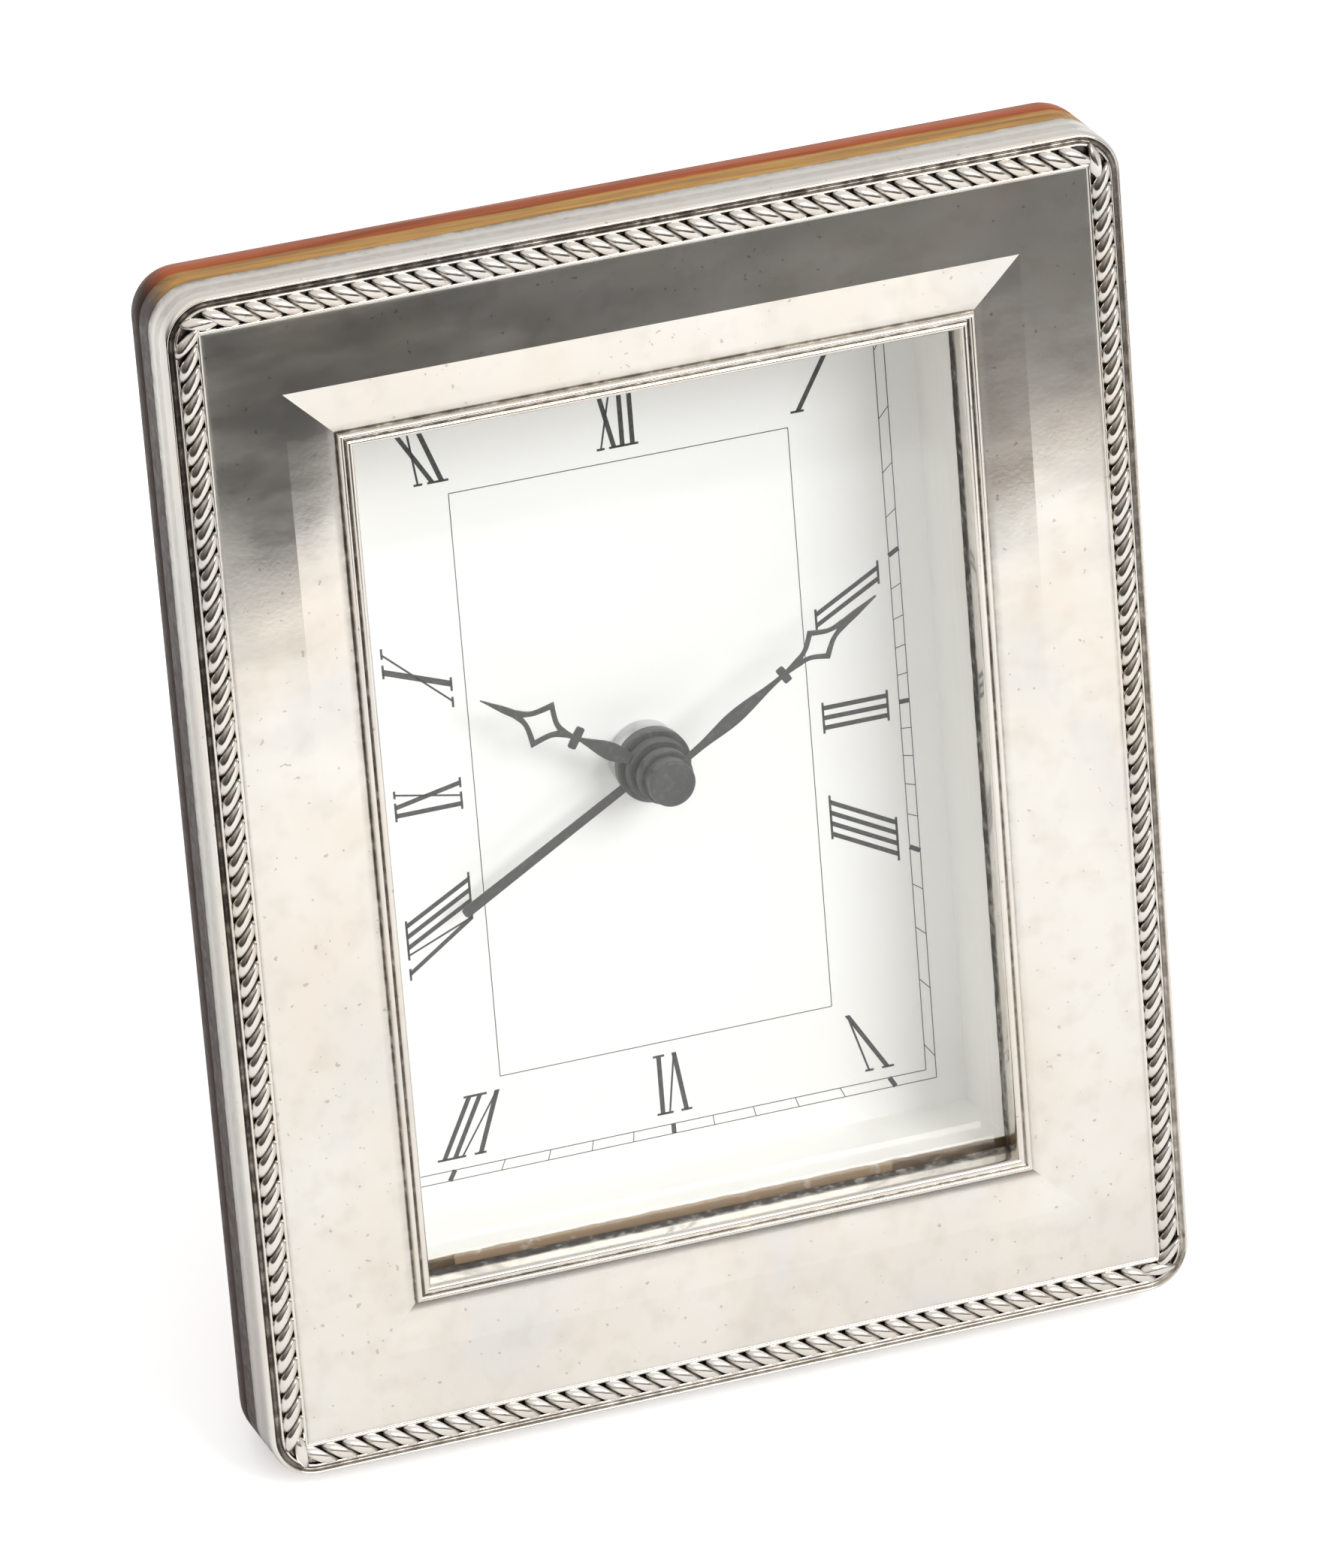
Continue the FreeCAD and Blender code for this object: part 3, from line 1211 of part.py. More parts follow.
def screw_set(face, direction):
    return Part.makeCompound([countersunk(across, up, face, direction, 0)
                              for across, up in leaf_screw_places()])


third = hinge_half / 3
outer_knuckles = [(-hinge_half, -third - knuckle_gap / 2), (third + knuckle_gap / 2, hinge_half)]
centre_knuckle = [(-third + knuckle_gap / 2, third - knuckle_gap / 2)]
strut_top = hinge_rise - barrel_radius - 3 * knuckle_gap
strut_front = moving_front + leaf_thickness
strut_back = strut_front + size("strut_thickness")
fixed_leaf = leaf_shape(panel_back, leaf_back, outer_knuckles, centre_knuckle, leaf_back, -1)
keep(shaped("hinge_leaf_fixed", fixed_leaf), "hinge_leaf_fixed")
keep(shaped("fixed_leaf_screws", screw_set(leaf_back, -1)), "fixed_leaf_screws")
hinge_pin = cross_rod("hinge_pin", "hinge_pin_radius", "hinge_width + 2 * hinge_knuckle_gap",
                      "0 - hinge_width / 2 - hinge_knuckle_gap", HINGE_DEPTH, "hinge_rise")
keep(hinge_pin, "hinge_pin")

# How the clock stands: the planed edge is on the table, and the strut's foot reaches it.
lean = math.radians(size("lean_angle"))
open_angle = math.radians(size("strut_open_angle"))
stand_depth = size("wood_depth") - size("wood_edge_radius")
table_height = -stand_depth * math.sin(lean)
axis_above_table = hinge_rise * math.cos(lean) - hinge_depth * math.sin(lean) - table_height
leg_tilt = open_angle - lean


def strut_shape():
    """A tapering mahogany leg, drawn folded, whose foot is sawn to lie flat on the table."""
    half_top = size("strut_width") / 2
    half_foot = size("strut_foot_width") / 2
    reach = axis_above_table / math.cos(leg_tilt) + size("strut_thickness") + overrun
    foot = hinge_rise - reach
    points = [Vector(-half_top, strut_front, strut_top), Vector(half_top, strut_front, strut_top),
              Vector(half_foot, strut_front, foot), Vector(-half_foot, strut_front, foot)]
    leg = Part.Face(Part.makePolygon(points + [points[0]])).extrude(Vector(0, strut_back - strut_front, 0))
    edges = [edge for edge in leg.Edges
             if lies_at(edge, strut_back) and abs(edge.BoundBox.Center.z - foot) > overrun]
    leg = leg.makeChamfer(size("strut_thickness") / 5, edges)
    table = Part.makeBox(4 * half_foot, 4 * reach, 2 * reach, Vector(-2 * half_foot, -2 * reach, -2 * reach))
    table.rotate(Vector(0, 0, 0), Vector(1, 0, 0), -math.degrees(leg_tilt))
    down = Vector(0, math.sin(leg_tilt), math.cos(leg_tilt)) * -axis_above_table
    table.translate(Vector(0, hinge_depth, hinge_rise) + down)
    leg = leg.cut(table)
    for across, up in leaf_screw_places():
        leg = leg.cut(countersunk(across, up, moving_front, 1, clearance))
    return leg


moving_leaf = leaf_shape(moving_front, strut_front, centre_knuckle, outer_knuckles, moving_front, 1)
swinging = [keep(shaped("hinge_leaf_moving", moving_leaf), "hinge_leaf_moving"),
            keep(shaped("strut_leaf_screws", screw_set(moving_front, 1)), "strut_leaf_screws"),
            keep(shaped("strut", strut_shape()), "strut")]

# Screw holes of the fixed leaf go into the back panel as well.
panel = [piece for piece in pieces if piece.Label == "back_panel"][0]
for index, (across, up) in enumerate(leaf_screw_places()):
    hole = cross_sketch(panel, "leaf_hole_outline_%d" % index,
                        PANEL_BACK + " + hinge_leaf_thickness - leaf_screw_length - running_clearance",
                        "%s leaf_screw_spread_share * hinge_width / 2" % ("0 -" if across < 0 else "0 +"),
                        "hinge_rise - leaf_screw_drop_share * hinge_leaf_length")
    draw_circle(hole, "leaf_screw_radius + running_clearance")
    pocket(panel, hole, "leaf_hole_%d" % index, "leaf_screw_length + overrun")
doc.recompute()

# Check every object and every finished piece before anything is written.
for thing in doc.Objects:
    if "Invalid" in thing.State or "Error" in thing.State:
        raise RuntimeError("failed object: " + thing.Name)

# Lean the clock back and put its origin under the middle of its bounding box.
lean_turn = FreeCAD.Rotation(Vector(1, 0, 0), -size("lean_angle"))
open_turn = FreeCAD.Rotation(Vector(1, 0, 0), size("strut_open_angle"))
hinge_point = Vector(0, hinge_depth, hinge_rise)
opened = FreeCAD.Placement(hinge_point - open_turn.multVec(hinge_point), open_turn)
leaned = FreeCAD.Placement(Vector(0, 0, -table_height), lean_turn)


def set_placement(shift):
    moved = FreeCAD.Placement(Vector(0, shift, 0), FreeCAD.Rotation()).multiply(leaned)
    for piece in pieces:
        own = opened if piece in swinging else FreeCAD.Placement()
        first = FreeCAD.Placement()
        if piece.TypeId in ("Part::Box", "Part::Cylinder"):
            first = piece.Placement
            for prop in ("Placement.Base.x", "Placement.Base.y", "Placement.Base.z"):
                piece.setExpression(prop, None)
        piece.Placement = moved.multiply(own).multiply(first)
    doc.recompute()
    return moved


leaned_set = set_placement(0)
low = min(piece.Shape.optimalBoundingBox(False).YMin for piece in pieces)
high = max(piece.Shape.optimalBoundingBox(False).YMax for piece in pieces)
shift = -(low + high) / 2
for piece in pieces:
    piece.Placement = FreeCAD.Placement(Vector(0, shift, 0), FreeCAD.Rotation()).multiply(piece.Placement)
doc.recompute()
leaned_set = FreeCAD.Placement(Vector(0, shift, 0), FreeCAD.Rotation()).multiply(leaned_set)

for piece in pieces:
    if piece.Shape.isNull() or not piece.Shape.isValid():
        raise RuntimeError("bad shape: " + piece.Label)
    piece.Shape.exportStep("parts/" + piece.Label + ".step")

for label, place in (("minute axis", Vector(arbor_x, dial_depth, arbor_z)),
                     ("motion axis", Vector(motion_x, dial_depth, motion_z)),
                     ("alarm knob axis", Vector(alarm_x, dial_depth, alarm_z)),
                     ("hinge axis", hinge_point),
                     ("standing edge", Vector(0, stand_depth, 0)),
                     ("front centre", Vector(0, 0, middle_height))):
    point = leaned_set.multVec(place)
    print("%s %.5f %.5f %.5f" % (label, point.x, point.y, point.z))
print("pieces", len(pieces))
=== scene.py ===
import math
import bmesh
import bpy
from mathutils import Matrix, Vector


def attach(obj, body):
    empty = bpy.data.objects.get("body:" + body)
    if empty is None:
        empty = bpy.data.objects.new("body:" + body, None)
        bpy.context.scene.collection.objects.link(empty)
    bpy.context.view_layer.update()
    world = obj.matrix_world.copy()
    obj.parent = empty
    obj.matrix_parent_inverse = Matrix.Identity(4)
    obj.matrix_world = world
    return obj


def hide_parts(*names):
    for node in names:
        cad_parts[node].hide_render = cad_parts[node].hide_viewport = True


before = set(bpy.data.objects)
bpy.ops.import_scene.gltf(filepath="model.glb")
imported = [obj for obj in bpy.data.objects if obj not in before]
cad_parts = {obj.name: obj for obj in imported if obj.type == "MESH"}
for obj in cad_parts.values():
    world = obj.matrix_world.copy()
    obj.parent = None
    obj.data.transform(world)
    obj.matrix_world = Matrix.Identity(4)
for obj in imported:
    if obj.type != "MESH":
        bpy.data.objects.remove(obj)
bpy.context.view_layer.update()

# Camera: a long lens about a metre away, from the left and well above the dial.
# It stands upright and is aimed just past the middle of the frame.
camera_place = Vector((-0.307136, -0.854734, 0.681288))
camera_right = Vector((0.940673, -0.339315, 0.0))
camera_up = Vector((0.191686, 0.531405, 0.825146))
camera_data = bpy.data.cameras.new("camera")
camera_data.lens = 249.311
camera_data.sensor_width = 36.0
camera_data.clip_start = 0.05
camera_data.clip_end = 30.0
camera = bpy.data.objects.new("camera", camera_data)
bpy.context.scene.collection.objects.link(camera)
camera_turn = Matrix((camera_right, camera_up, camera_right.cross(camera_up))).transposed()
camera.matrix_world = Matrix.Translation(camera_place) @ camera_turn.to_4x4()
bpy.context.scene.camera = camera
bpy.context.scene.view_settings.view_transform = "Standard"


# Floor, room and lamps: a white table that ends in front of the clock, in a pale studio.
# What lies past the table's front edge is dark, and only the polished silver shows it.
def new_material(name):
    material = bpy.data.materials.new(name)
    material.use_nodes = True
    material.node_tree.nodes.clear()
    return material


def add_node(tree, kind, settings=(), **values):
    """A node with its settings and socket values; a value that is a socket is linked."""
    item = tree.nodes.new(kind)
    for key, setting in dict(settings).items():
        setattr(item, key, setting)
    for key, value in values.items():
        socket = item.inputs[int(key[1:])] if key[1:].isdigit() else item.inputs[key.replace("_", " ")]
        if isinstance(value, bpy.types.NodeSocket):
            tree.links.new(value, socket)
        else:
            socket.default_value = value
    return item


def math_node(tree, operation, first, second):
    return add_node(tree, "ShaderNodeMath", {"operation": operation}, _0=first, _1=second).outputs[0]


def build_floor():
    depth_front = -0.62
    depth_back = 3.0
    half_width = 3.0
    drop = 0.0002
    mesh = bpy.data.meshes.new("table_top")
    corners = [(-half_width, depth_front, -drop), (half_width, depth_front, -drop),
               (half_width, depth_back, -drop), (-half_width, depth_back, -drop)]
    mesh.from_pydata(corners, [], [(0, 1, 2, 3)])
    table = bpy.data.objects.new("table_top", mesh)
    bpy.context.scene.collection.objects.link(table)
    material = new_material("white_table")
    tree = material.node_tree
    shade = add_node(tree, "ShaderNodeBsdfPrincipled", Base_Color=(0.9, 0.9, 0.9, 1), Roughness=0.8)
    seen = add_node(tree, "ShaderNodeLightPath").outputs["Is Camera Ray"]
    glow_seen = 0.4
    glow = add_node(tree, "ShaderNodeEmission", Color=(1, 1, 1, 1),
                    Strength=math_node(tree, "MULTIPLY", seen, glow_seen))
    both = add_node(tree, "ShaderNodeAddShader", _0=shade.outputs[0], _1=glow.outputs[0])
    add_node(tree, "ShaderNodeOutputMaterial", Surface=both.outputs[0])
    mesh.materials.append(material)


build_floor()


def drawn_line(tree, value, rows):
    """A value that follows straight lines through the given points."""
    line = add_node(tree, "ShaderNodeFloatCurve", Value=value)
    points = line.mapping.curves[0].points
    points[0].location = rows[0]
    points[1].location = rows[-1]
    for across, height in rows[1:-1]:
        points.new(across, height)
    for point in points:
        point.handle_type = "VECTOR"
    line.mapping.update()
    return line.outputs[0]


def stepped(tree, value, low, high, at_low=0.0, at_high=1.0, kind="LINEAR"):
    """Maps a value from one range to another, held at both ends."""
    item = add_node(tree, "ShaderNodeMapRange", {"interpolation_type": kind}, Value=value)
    item.inputs["From Min"].default_value = low
    item.inputs["From Max"].default_value = high
    item.inputs["To Min"].default_value = at_low
    item.inputs["To Max"].default_value = at_high
    return item.outputs[0]


def brightest(tree, rows):
    """The highest of several smooth steps, each a value, its two ends and what they give."""
    best = None
    for row in rows:
        lift = stepped(tree, *row, "SMOOTHSTEP")
        best = math_node(tree, "MAXIMUM", lift, best) if best else lift
    return best


def blended(tree, share, first, second, kind="MIX"):
    """A colour between two, by a share; each colour is a tuple or a socket."""
    item = add_node(tree, "ShaderNodeMix", {"data_type": "RGBA", "blend_type": kind}, Factor=share)
    for socket, colour in ((item.inputs[6], first), (item.inputs[7], second)):
        if isinstance(colour, bpy.types.NodeSocket):
            tree.links.new(colour, socket)
        else:
            socket.default_value = (*colour, 1)
    return item.outputs[2]


def build_room():
    """A pale room, dark beyond the table's front edge and shaded low on the left.

    From left to right, dusk is how bright the dark zone is and edge is how high it reaches.
    """
    room = bpy.data.worlds.new("studio")
    bpy.context.scene.world = room
    room.use_nodes = True
    tree = room.node_tree
    tree.nodes.clear()
    direction = add_node(tree, "ShaderNodeTexCoord").outputs["Generated"]
    parts = add_node(tree, "ShaderNodeSeparateXYZ", Vector=direction)
    across = parts.outputs["X"]
    ahead = parts.outputs["Y"]
    upward = parts.outputs["Z"]
    dusk = drawn_line(tree, across, (
        (0.0, 0.06), (0.08, 0.06), (0.1, 0.17), (0.235, 0.17), (0.247, 0.07), (0.325, 0.27),
        (0.336, 0.08), (0.5, 0.08), (0.6, 0.2), (1.0, 0.2)))
    edge = drawn_line(tree, across, (
        (0.0, 0.0), (0.06, 0.048), (0.1, 0.25), (0.235, 0.25), (0.247, 0.192), (0.325, 0.25),
        (0.336, 0.192), (0.5, 0.192), (0.66, 0.528), (1.0, 0.8)))
    below_edge = math_node(tree, "SUBTRACT", edge, upward)
    lit = brightest(tree, ((upward, -0.02, 0.4, 0.0, 1.0), (ahead, -0.35, 0.1, 0.0, 1.0),
                           (below_edge, 0.382, 0.407, 0.0, 1.0)))
    shaded = 0.3
    wall = 0.82
    ceiling = 1.02
    pale = brightest(tree, ((across, -0.75, -0.3, shaded, wall), (upward, 0.25, 0.7, shaded, ceiling),
                            (ahead, 0.3, 0.8, shaded, wall)))
    warmth = add_node(tree, "ShaderNodeValToRGB", Fac=lit)
    warmth.color_ramp.elements[0].color = (1.0, 1.0, 1.0, 1.0)
    warmth.color_ramp.elements[1].color = (1.0, 1.0, 1.0, 1.0)
    warmth.color_ramp.elements.new(0.4).color = (1.15, 0.97, 0.82, 1.0)
    toned = blended(tree, 1.0, blended(tree, lit, dusk, pale), warmth.outputs["Color"], "MULTIPLY")
    seen = add_node(tree, "ShaderNodeLightPath").outputs["Is Camera Ray"]
    sky = add_node(tree, "ShaderNodeBackground", Color=blended(tree, seen, toned, (1, 1, 1)), Strength=1.0)
    add_node(tree, "ShaderNodeOutputWorld", Surface=sky.outputs[0])


build_room()


def hang_lamp(name, place, target, size, power):
    lamp_data = bpy.data.lights.new(name, "AREA")
    lamp_data.size = size
    lamp_data.energy = power
    lamp = bpy.data.objects.new(name, lamp_data)
    bpy.context.scene.collection.objects.link(lamp)
    lamp.location = Vector(place)
    lamp.rotation_euler = (Vector(target) - Vector(place)).to_track_quat("-Z", "Y").to_euler()


hang_lamp("large_softbox", (0.75, -1.25, 1.15), (0, 0, 0.06), 0.8, 17.0)

# Silver front: thin sterling sheet pressed over a former and folded round the wooden frame.
# Its outside is rounded at the corners, and the moulding round the window is mitred.
lean = math.radians(12.88)
stand_depth = 10.3
stand_place = -16.63782
millimetre = 0.001
flat_to_world = Matrix.Scale(millimetre, 4) @ Matrix((
    (1, 0, 0, 0),
    (0, math.sin(lean), -math.cos(lean), stand_place - stand_depth * math.cos(lean)),
    (0, math.cos(lean), math.sin(lean), stand_depth * math.sin(lean)),
    (0, 0, 0, 1)))
half_wide = 50.0
half_high = 63.5


def frame_outline(inset, radius, steps):
    """The frame's outline moved in by an inset, clockwise seen from the front, from the lower left."""
    points = []
    wide = half_wide - inset
    high = half_high - inset
    for across, up, start in ((-1, -1, 270), (-1, 1, 180), (1, 1, 90), (1, -1, 0)):
        for step in range(steps + 1):
            angle = math.radians(start - 90 * step / max(steps, 1))
            reach = radius if steps else 0
            points.append((across * (wide - reach) + math.cos(angle) * reach,
                           half_high + up * (high - reach) + math.sin(angle) * reach))
    return points


def finished_mesh(name, mesh_data):
    """Makes a mesh of what was drawn, its faces all looking outwards."""
    bmesh.ops.recalc_face_normals(mesh_data, faces=mesh_data.faces)
    mesh = bpy.data.meshes.new(name)
    mesh_data.to_mesh(mesh)
    mesh_data.free()
    return mesh


def swept_frame(name, section, corner_radius, steps):
    """Sweeps a closed section of (inset, height, tarnish and painted shade share, crease) round the frame, as
    a mesh.
    """
    least_radius = 0.25
    evenness = 0.72
    mesh_data = bmesh.new()
    tarnish_and_shade = mesh_data.verts.layers.float.new("tarnish_and_shade")
    rings = []
    creases = []
    for inset, height, tarnish_and_shade_share, crease in section:
        creases.append(crease)
        ring = []
        for across, up in frame_outline(inset, max(corner_radius - inset, least_radius), steps):
            vert = mesh_data.verts.new((across, up, height))
            # Painted shade: the tarnish and shade share is strongest towards the top left and weakest towards
            # the bottom right, as the light falls.
            shaded = 0.8 * (up / half_high - 1 - across / half_wide)
            vert[tarnish_and_shade] = tarnish_and_shade_share * (evenness + (1 - evenness) * max(-1.0, min(1.0, shaded)))
            ring.append(vert)
        rings.append(ring)
    count = len(rings[0])
    for index, ring in enumerate(rings):
        following = rings[(index + 1) % len(rings)]
        for place in range(count):
            after = (place + 1) % count
            face = mesh_data.faces.new((ring[place], ring[after], following[after], following[place]))
            face.smooth = True
            if not steps:
                mesh_data.edges.get((ring[place], following[place])).smooth = False
        if creases[index]:
            for place in range(count):
                mesh_data.edges.get((ring[place], ring[(place + 1) % count])).smooth = False
    mesh = finished_mesh(name, mesh_data)
    mesh.transform(flat_to_world)
    return mesh


def put_in(name, mesh, material, body, stands_for=()):
    """Makes a finished mesh a piece that rides on a body."""
    piece = bpy.data.objects.new(name, mesh)
    bpy.context.scene.collection.objects.link(piece)
    mesh.materials.clear()
    mesh.materials.append(material)
    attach(piece, body)
    if stands_for:
        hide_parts(*stands_for)
    return piece


def noise_value(tree, scale, detail=4.0, stretch=(1, 1, 1), warp=0.0):
    """A noise pattern that sits on the piece, its scale counted per metre."""
    place = add_node(tree, "ShaderNodeTexCoord").outputs["Object"]
    mapped = add_node(tree, "ShaderNodeMapping", Vector=place, Scale=stretch)
    return add_node(tree, "ShaderNodeTexNoise", Vector=mapped.outputs[0], Scale=scale, Detail=detail,
                    Distortion=warp).outputs["Fac"]


def bumped(tree, value, distance, below=None):
    item = add_node(tree, "ShaderNodeBump", Height=value, Distance=distance, Strength=1.0)
    if below:
        tree.links.new(below, item.inputs["Normal"])
    return item.outputs[0]


def give_surface(tree, **look):
    """Ends a material in one shader that has the given look."""
    shade = add_node(tree, "ShaderNodeBsdfPrincipled", **look)
    add_node(tree, "ShaderNodeOutputMaterial", Surface=shade.outputs[0])


def scaled(colour, share):
    return tuple(part * share for part in colour)


def silver_material(name, clean, roughness):
    """Polished silver with tarnish and painted shade in its grooves, faint wipe marks, specks and gentle
    waves.
    """
    faint_tarnish_and_shade_colour = (0.4, 0.37, 0.33)
    deep_tarnish_and_shade_colour = (0.07, 0.06, 0.052)
    speck_colour = (0.2, 0.16, 0.13)
    material = new_material(name)
    tree = material.node_tree
    tarnish_and_shade = add_node(tree, "ShaderNodeAttribute", {"attribute_name": "tarnish_and_shade"}).outputs["Fac"]
    blotch = noise_value(tree, 900.0, 6.0)
    tarnish_and_shade_share = math_node(tree, "MULTIPLY", tarnish_and_shade, stepped(tree, blotch, 0.3, 0.62, 0.45, 1.0))
    cloud = noise_value(tree, 55.0, 6.0, warp=0.3)
    warm = (clean[0] * 0.97, clean[1] * 0.93, clean[2] * 0.885)
    cool = (clean[0] * 0.9, clean[1] * 0.915, clean[2] * 0.935)
    toned = blended(tree, stepped(tree, cloud, 0.4, 0.62), clean, warm)
    haze = noise_value(tree, 60.0, 9.0, warp=0.3)
    toned = blended(tree, stepped(tree, haze, 0.48, 0.7), toned, cool)
    grime = stepped(tree, noise_value(tree, 380.0, 9.0), 0.5, 0.72, 0.0, 0.3)
    toned = blended(tree, grime, toned, (clean[0] * 0.76, clean[1] * 0.72, clean[2] * 0.67))
    speck = stepped(tree, noise_value(tree, 1400.0, 1.0), 0.735, 0.76)
    toned = blended(tree, math_node(tree, "MULTIPLY", speck, 0.4), toned, speck_colour)
    # Painted shade and reflection: where the tarnish and shade share is high the silver turns brown, then
    # nearly black.
    toned = blended(tree, stepped(tree, tarnish_and_shade_share, 0.0, 0.45), toned, faint_tarnish_and_shade_colour)
    colour = blended(tree, stepped(tree, tarnish_and_shade_share, 0.3, 1.0), toned, deep_tarnish_and_shade_colour)
    wipe = noise_value(tree, 260.0, 6.0, (0.35, 1.0, 1.0), 0.15)
    rough = math_node(tree, "ADD", stepped(tree, wipe, 0.35, 0.7, roughness * 0.85, roughness * 1.35),
                      math_node(tree, "MULTIPLY", tarnish_and_shade_share, 0.35))
    wave = bumped(tree, noise_value(tree, 42.0, 1.0), 0.00007)
    fine = bumped(tree, noise_value(tree, 1900.0, 3.0), 0.0000009, wave)
    give_surface(tree, Base_Color=colour, Roughness=rough, Metallic=1.0, Normal=fine)
    return material


silver = silver_material("aged_silver", (0.79, 0.755, 0.7), 0.085)

# The rim runs from the folded skirt over the rolled edge to the rope's bed; the window's
# moulding from the rope's inner bead over the band and the cove to the turned-in lip.
# The third column is the tarnish and shade share: tarnish in the hollows with painted shade in the grooves,
# painted reflection as dark stripes on the skirt, and darkest down the lip's return.
rim_section = [
    (0.00, -5.20, 0.9, True), (0.00, -4.95, 0.5, False), (0.06, -4.2, 0.15, False),
    (0.00, -3.5, 0.05, False), (0.00, -2.9, 0.25, False), (0.09, -2.1, 0.2, False),
    (0.02, -1.5, 0.02, False), (0.00, -1.0, 0.0, False), (0.03, -0.66, 0.0, False),
    (0.08, -0.40, 0.0, False), (0.16, -0.18, 0.0, False), (0.27, -0.03, 0.0, False),
    (0.38, 0.00, 0.0, False), (0.46, -0.06, 0.15, False), (0.53, -0.2, 0.7, False),
    (0.61, -0.34, 1.1, False), (0.76, -0.42, 1.3, False), (0.93, -0.42, 1.3, False),
    (1.03, -0.28, 0.8, False), (1.08, -0.09, 0.15, False), (1.15, 0.05, 0.0, False),
    (1.25, 0.10, 0.0, False), (1.34, 0.05, 0.0, False), (1.40, -0.08, 0.25, False),
    (1.44, -0.25, 0.7, False), (1.45, -0.35, 1.0, True), (1.9, -0.36, 1.0, False),
    (2.9, -0.36, 1.0, False), (3.33, -0.36, 1.0, True), (3.33, -0.85, 0.5, True),
    (0.45, -0.85, 0.5, True), (0.45, -5.20, 0.5, True)]
window_section = [
    (3.24, -0.36, 1.0, True), (3.27, -0.20, 0.8, False), (3.32, 0.00, 0.2, False),
    (3.41, 0.13, 0.0, False), (3.52, 0.18, 0.0, False), (3.64, 0.15, 0.0, False),
    (3.73, 0.08, 0.1, False), (3.79, 0.0, 0.5, False), (3.84, 0.0, 0.3, True),
    (4.15, 0.0, 0.04, False), (7.5, 0.0, 0.0, False), (11.45, 0.0, 0.0, True),
    (12.8, -0.085, 0.0, False), (14.2, -0.185, 0.0, False), (15.6, -0.305, 0.0, False),
    (16.3, -0.37, 0.25, False), (16.52, -0.40, 0.8, True), (16.56, -0.30, 1.0, False),
    (16.60, -0.06, 0.6, False), (16.70, 0.13, 0.1, False), (16.84, 0.23, 0.0, False),
    (16.98, 0.24, 0.0, False), (17.12, 0.16, 0.1, False), (17.22, 0.0, 0.6, False),
    (17.28, -0.16, 1.0, False), (17.34, -0.17, 1.0, False), (17.39, -0.04, 0.6, False),
    (17.47, 0.10, 0.1, False), (17.60, 0.18, 0.0, False), (17.76, 0.20, 0.0, False),
    (17.93, 0.14, 0.0, False), (18.08, 0.0, 0.1, False), (18.17, -0.22, 0.3, False),
    (18.20, -0.5, 0.2, False), (18.20, -1.7, 0.3, False), (18.20, -2.3, 2.0, False),
    (18.20, -3.58, 2.6, True), (17.78, -3.58, 0.5, True), (17.78, -0.85, 0.5, True),
    (3.24, -0.85, 0.5, True)]
outer_radius = 4.8
corner_steps = 12
put_in("silver_rim", swept_frame("silver_rim", rim_section, outer_radius, corner_steps),
       silver, "case", ["silver_front"])
put_in("silver_window_moulding", swept_frame("silver_window_moulding", window_section, 0.0, 0),
       silver, "case")


# Rope border: strands of a twist pressed into the same sheet, between the two beads.
# Each strand is half a turn of a helix, repeated all the way round the frame.
def strand_mesh(pitch):
    """One strand about its own origin: x along the rope, y outwards, z towards the front."""
    stations = 10
    around = 8
    end_taper = 0.3
    dip = 0.6
    shoulder = 0.75
    half_turn = math.radians(80)
    reach_across = 0.86
    reach_up = 0.62
    half_width = pitch * 0.32
    half_thickness = 0.42
    slant = pitch * 0.8
    base = -0.36
    mesh_data = bmesh.new()
    tarnish_and_shade = mesh_data.verts.layers.float.new("tarnish_and_shade")
    rings = []
    for station in range(stations):
        turn = half_turn * (2 * station / (stations - 1) - 1)
        share = turn / half_turn
        centre = Vector((-slant * share, reach_across * math.sin(turn),
                         base + reach_up * math.cos(turn) ** shoulder))
        tangent = Vector((-slant / half_turn, reach_across * math.cos(turn),
                          -dip * reach_up * math.sin(turn))).normalized()
        outward = Vector((0, math.sin(turn), math.cos(turn)))
        outward = (outward - tangent * outward.dot(tangent)).normalized()
        sideways = tangent.cross(outward)
        fullness = 1.0 - end_taper * abs(share) ** 3
        ring = []
        for step in range(around):
            angle = 2 * math.pi * step / around
            reach = sideways * math.cos(angle) * half_width + outward * math.sin(angle) * half_thickness
            vert = mesh_data.verts.new(centre + reach * fullness)
            # Painted shade: the share rises on each strand's sides and underside and towards its ends, so the
            # gaps between strands darken.
            vert[tarnish_and_shade] = min(1.0, max(0.0, 0.62 - 0.9 * math.sin(angle))) + 0.35 * abs(share) ** 3
            ring.append(vert)
        rings.append(ring)
    for first, second in zip(rings, rings[1:]):
        for step in range(around):
            after = (step + 1) % around
            mesh_data.faces.new((first[step], first[after], second[after], second[step]))
    mesh_data.faces.new(list(reversed(rings[0])))
    mesh_data.faces.new(rings[-1])
    return finished_mesh("rope_strand", mesh_data)


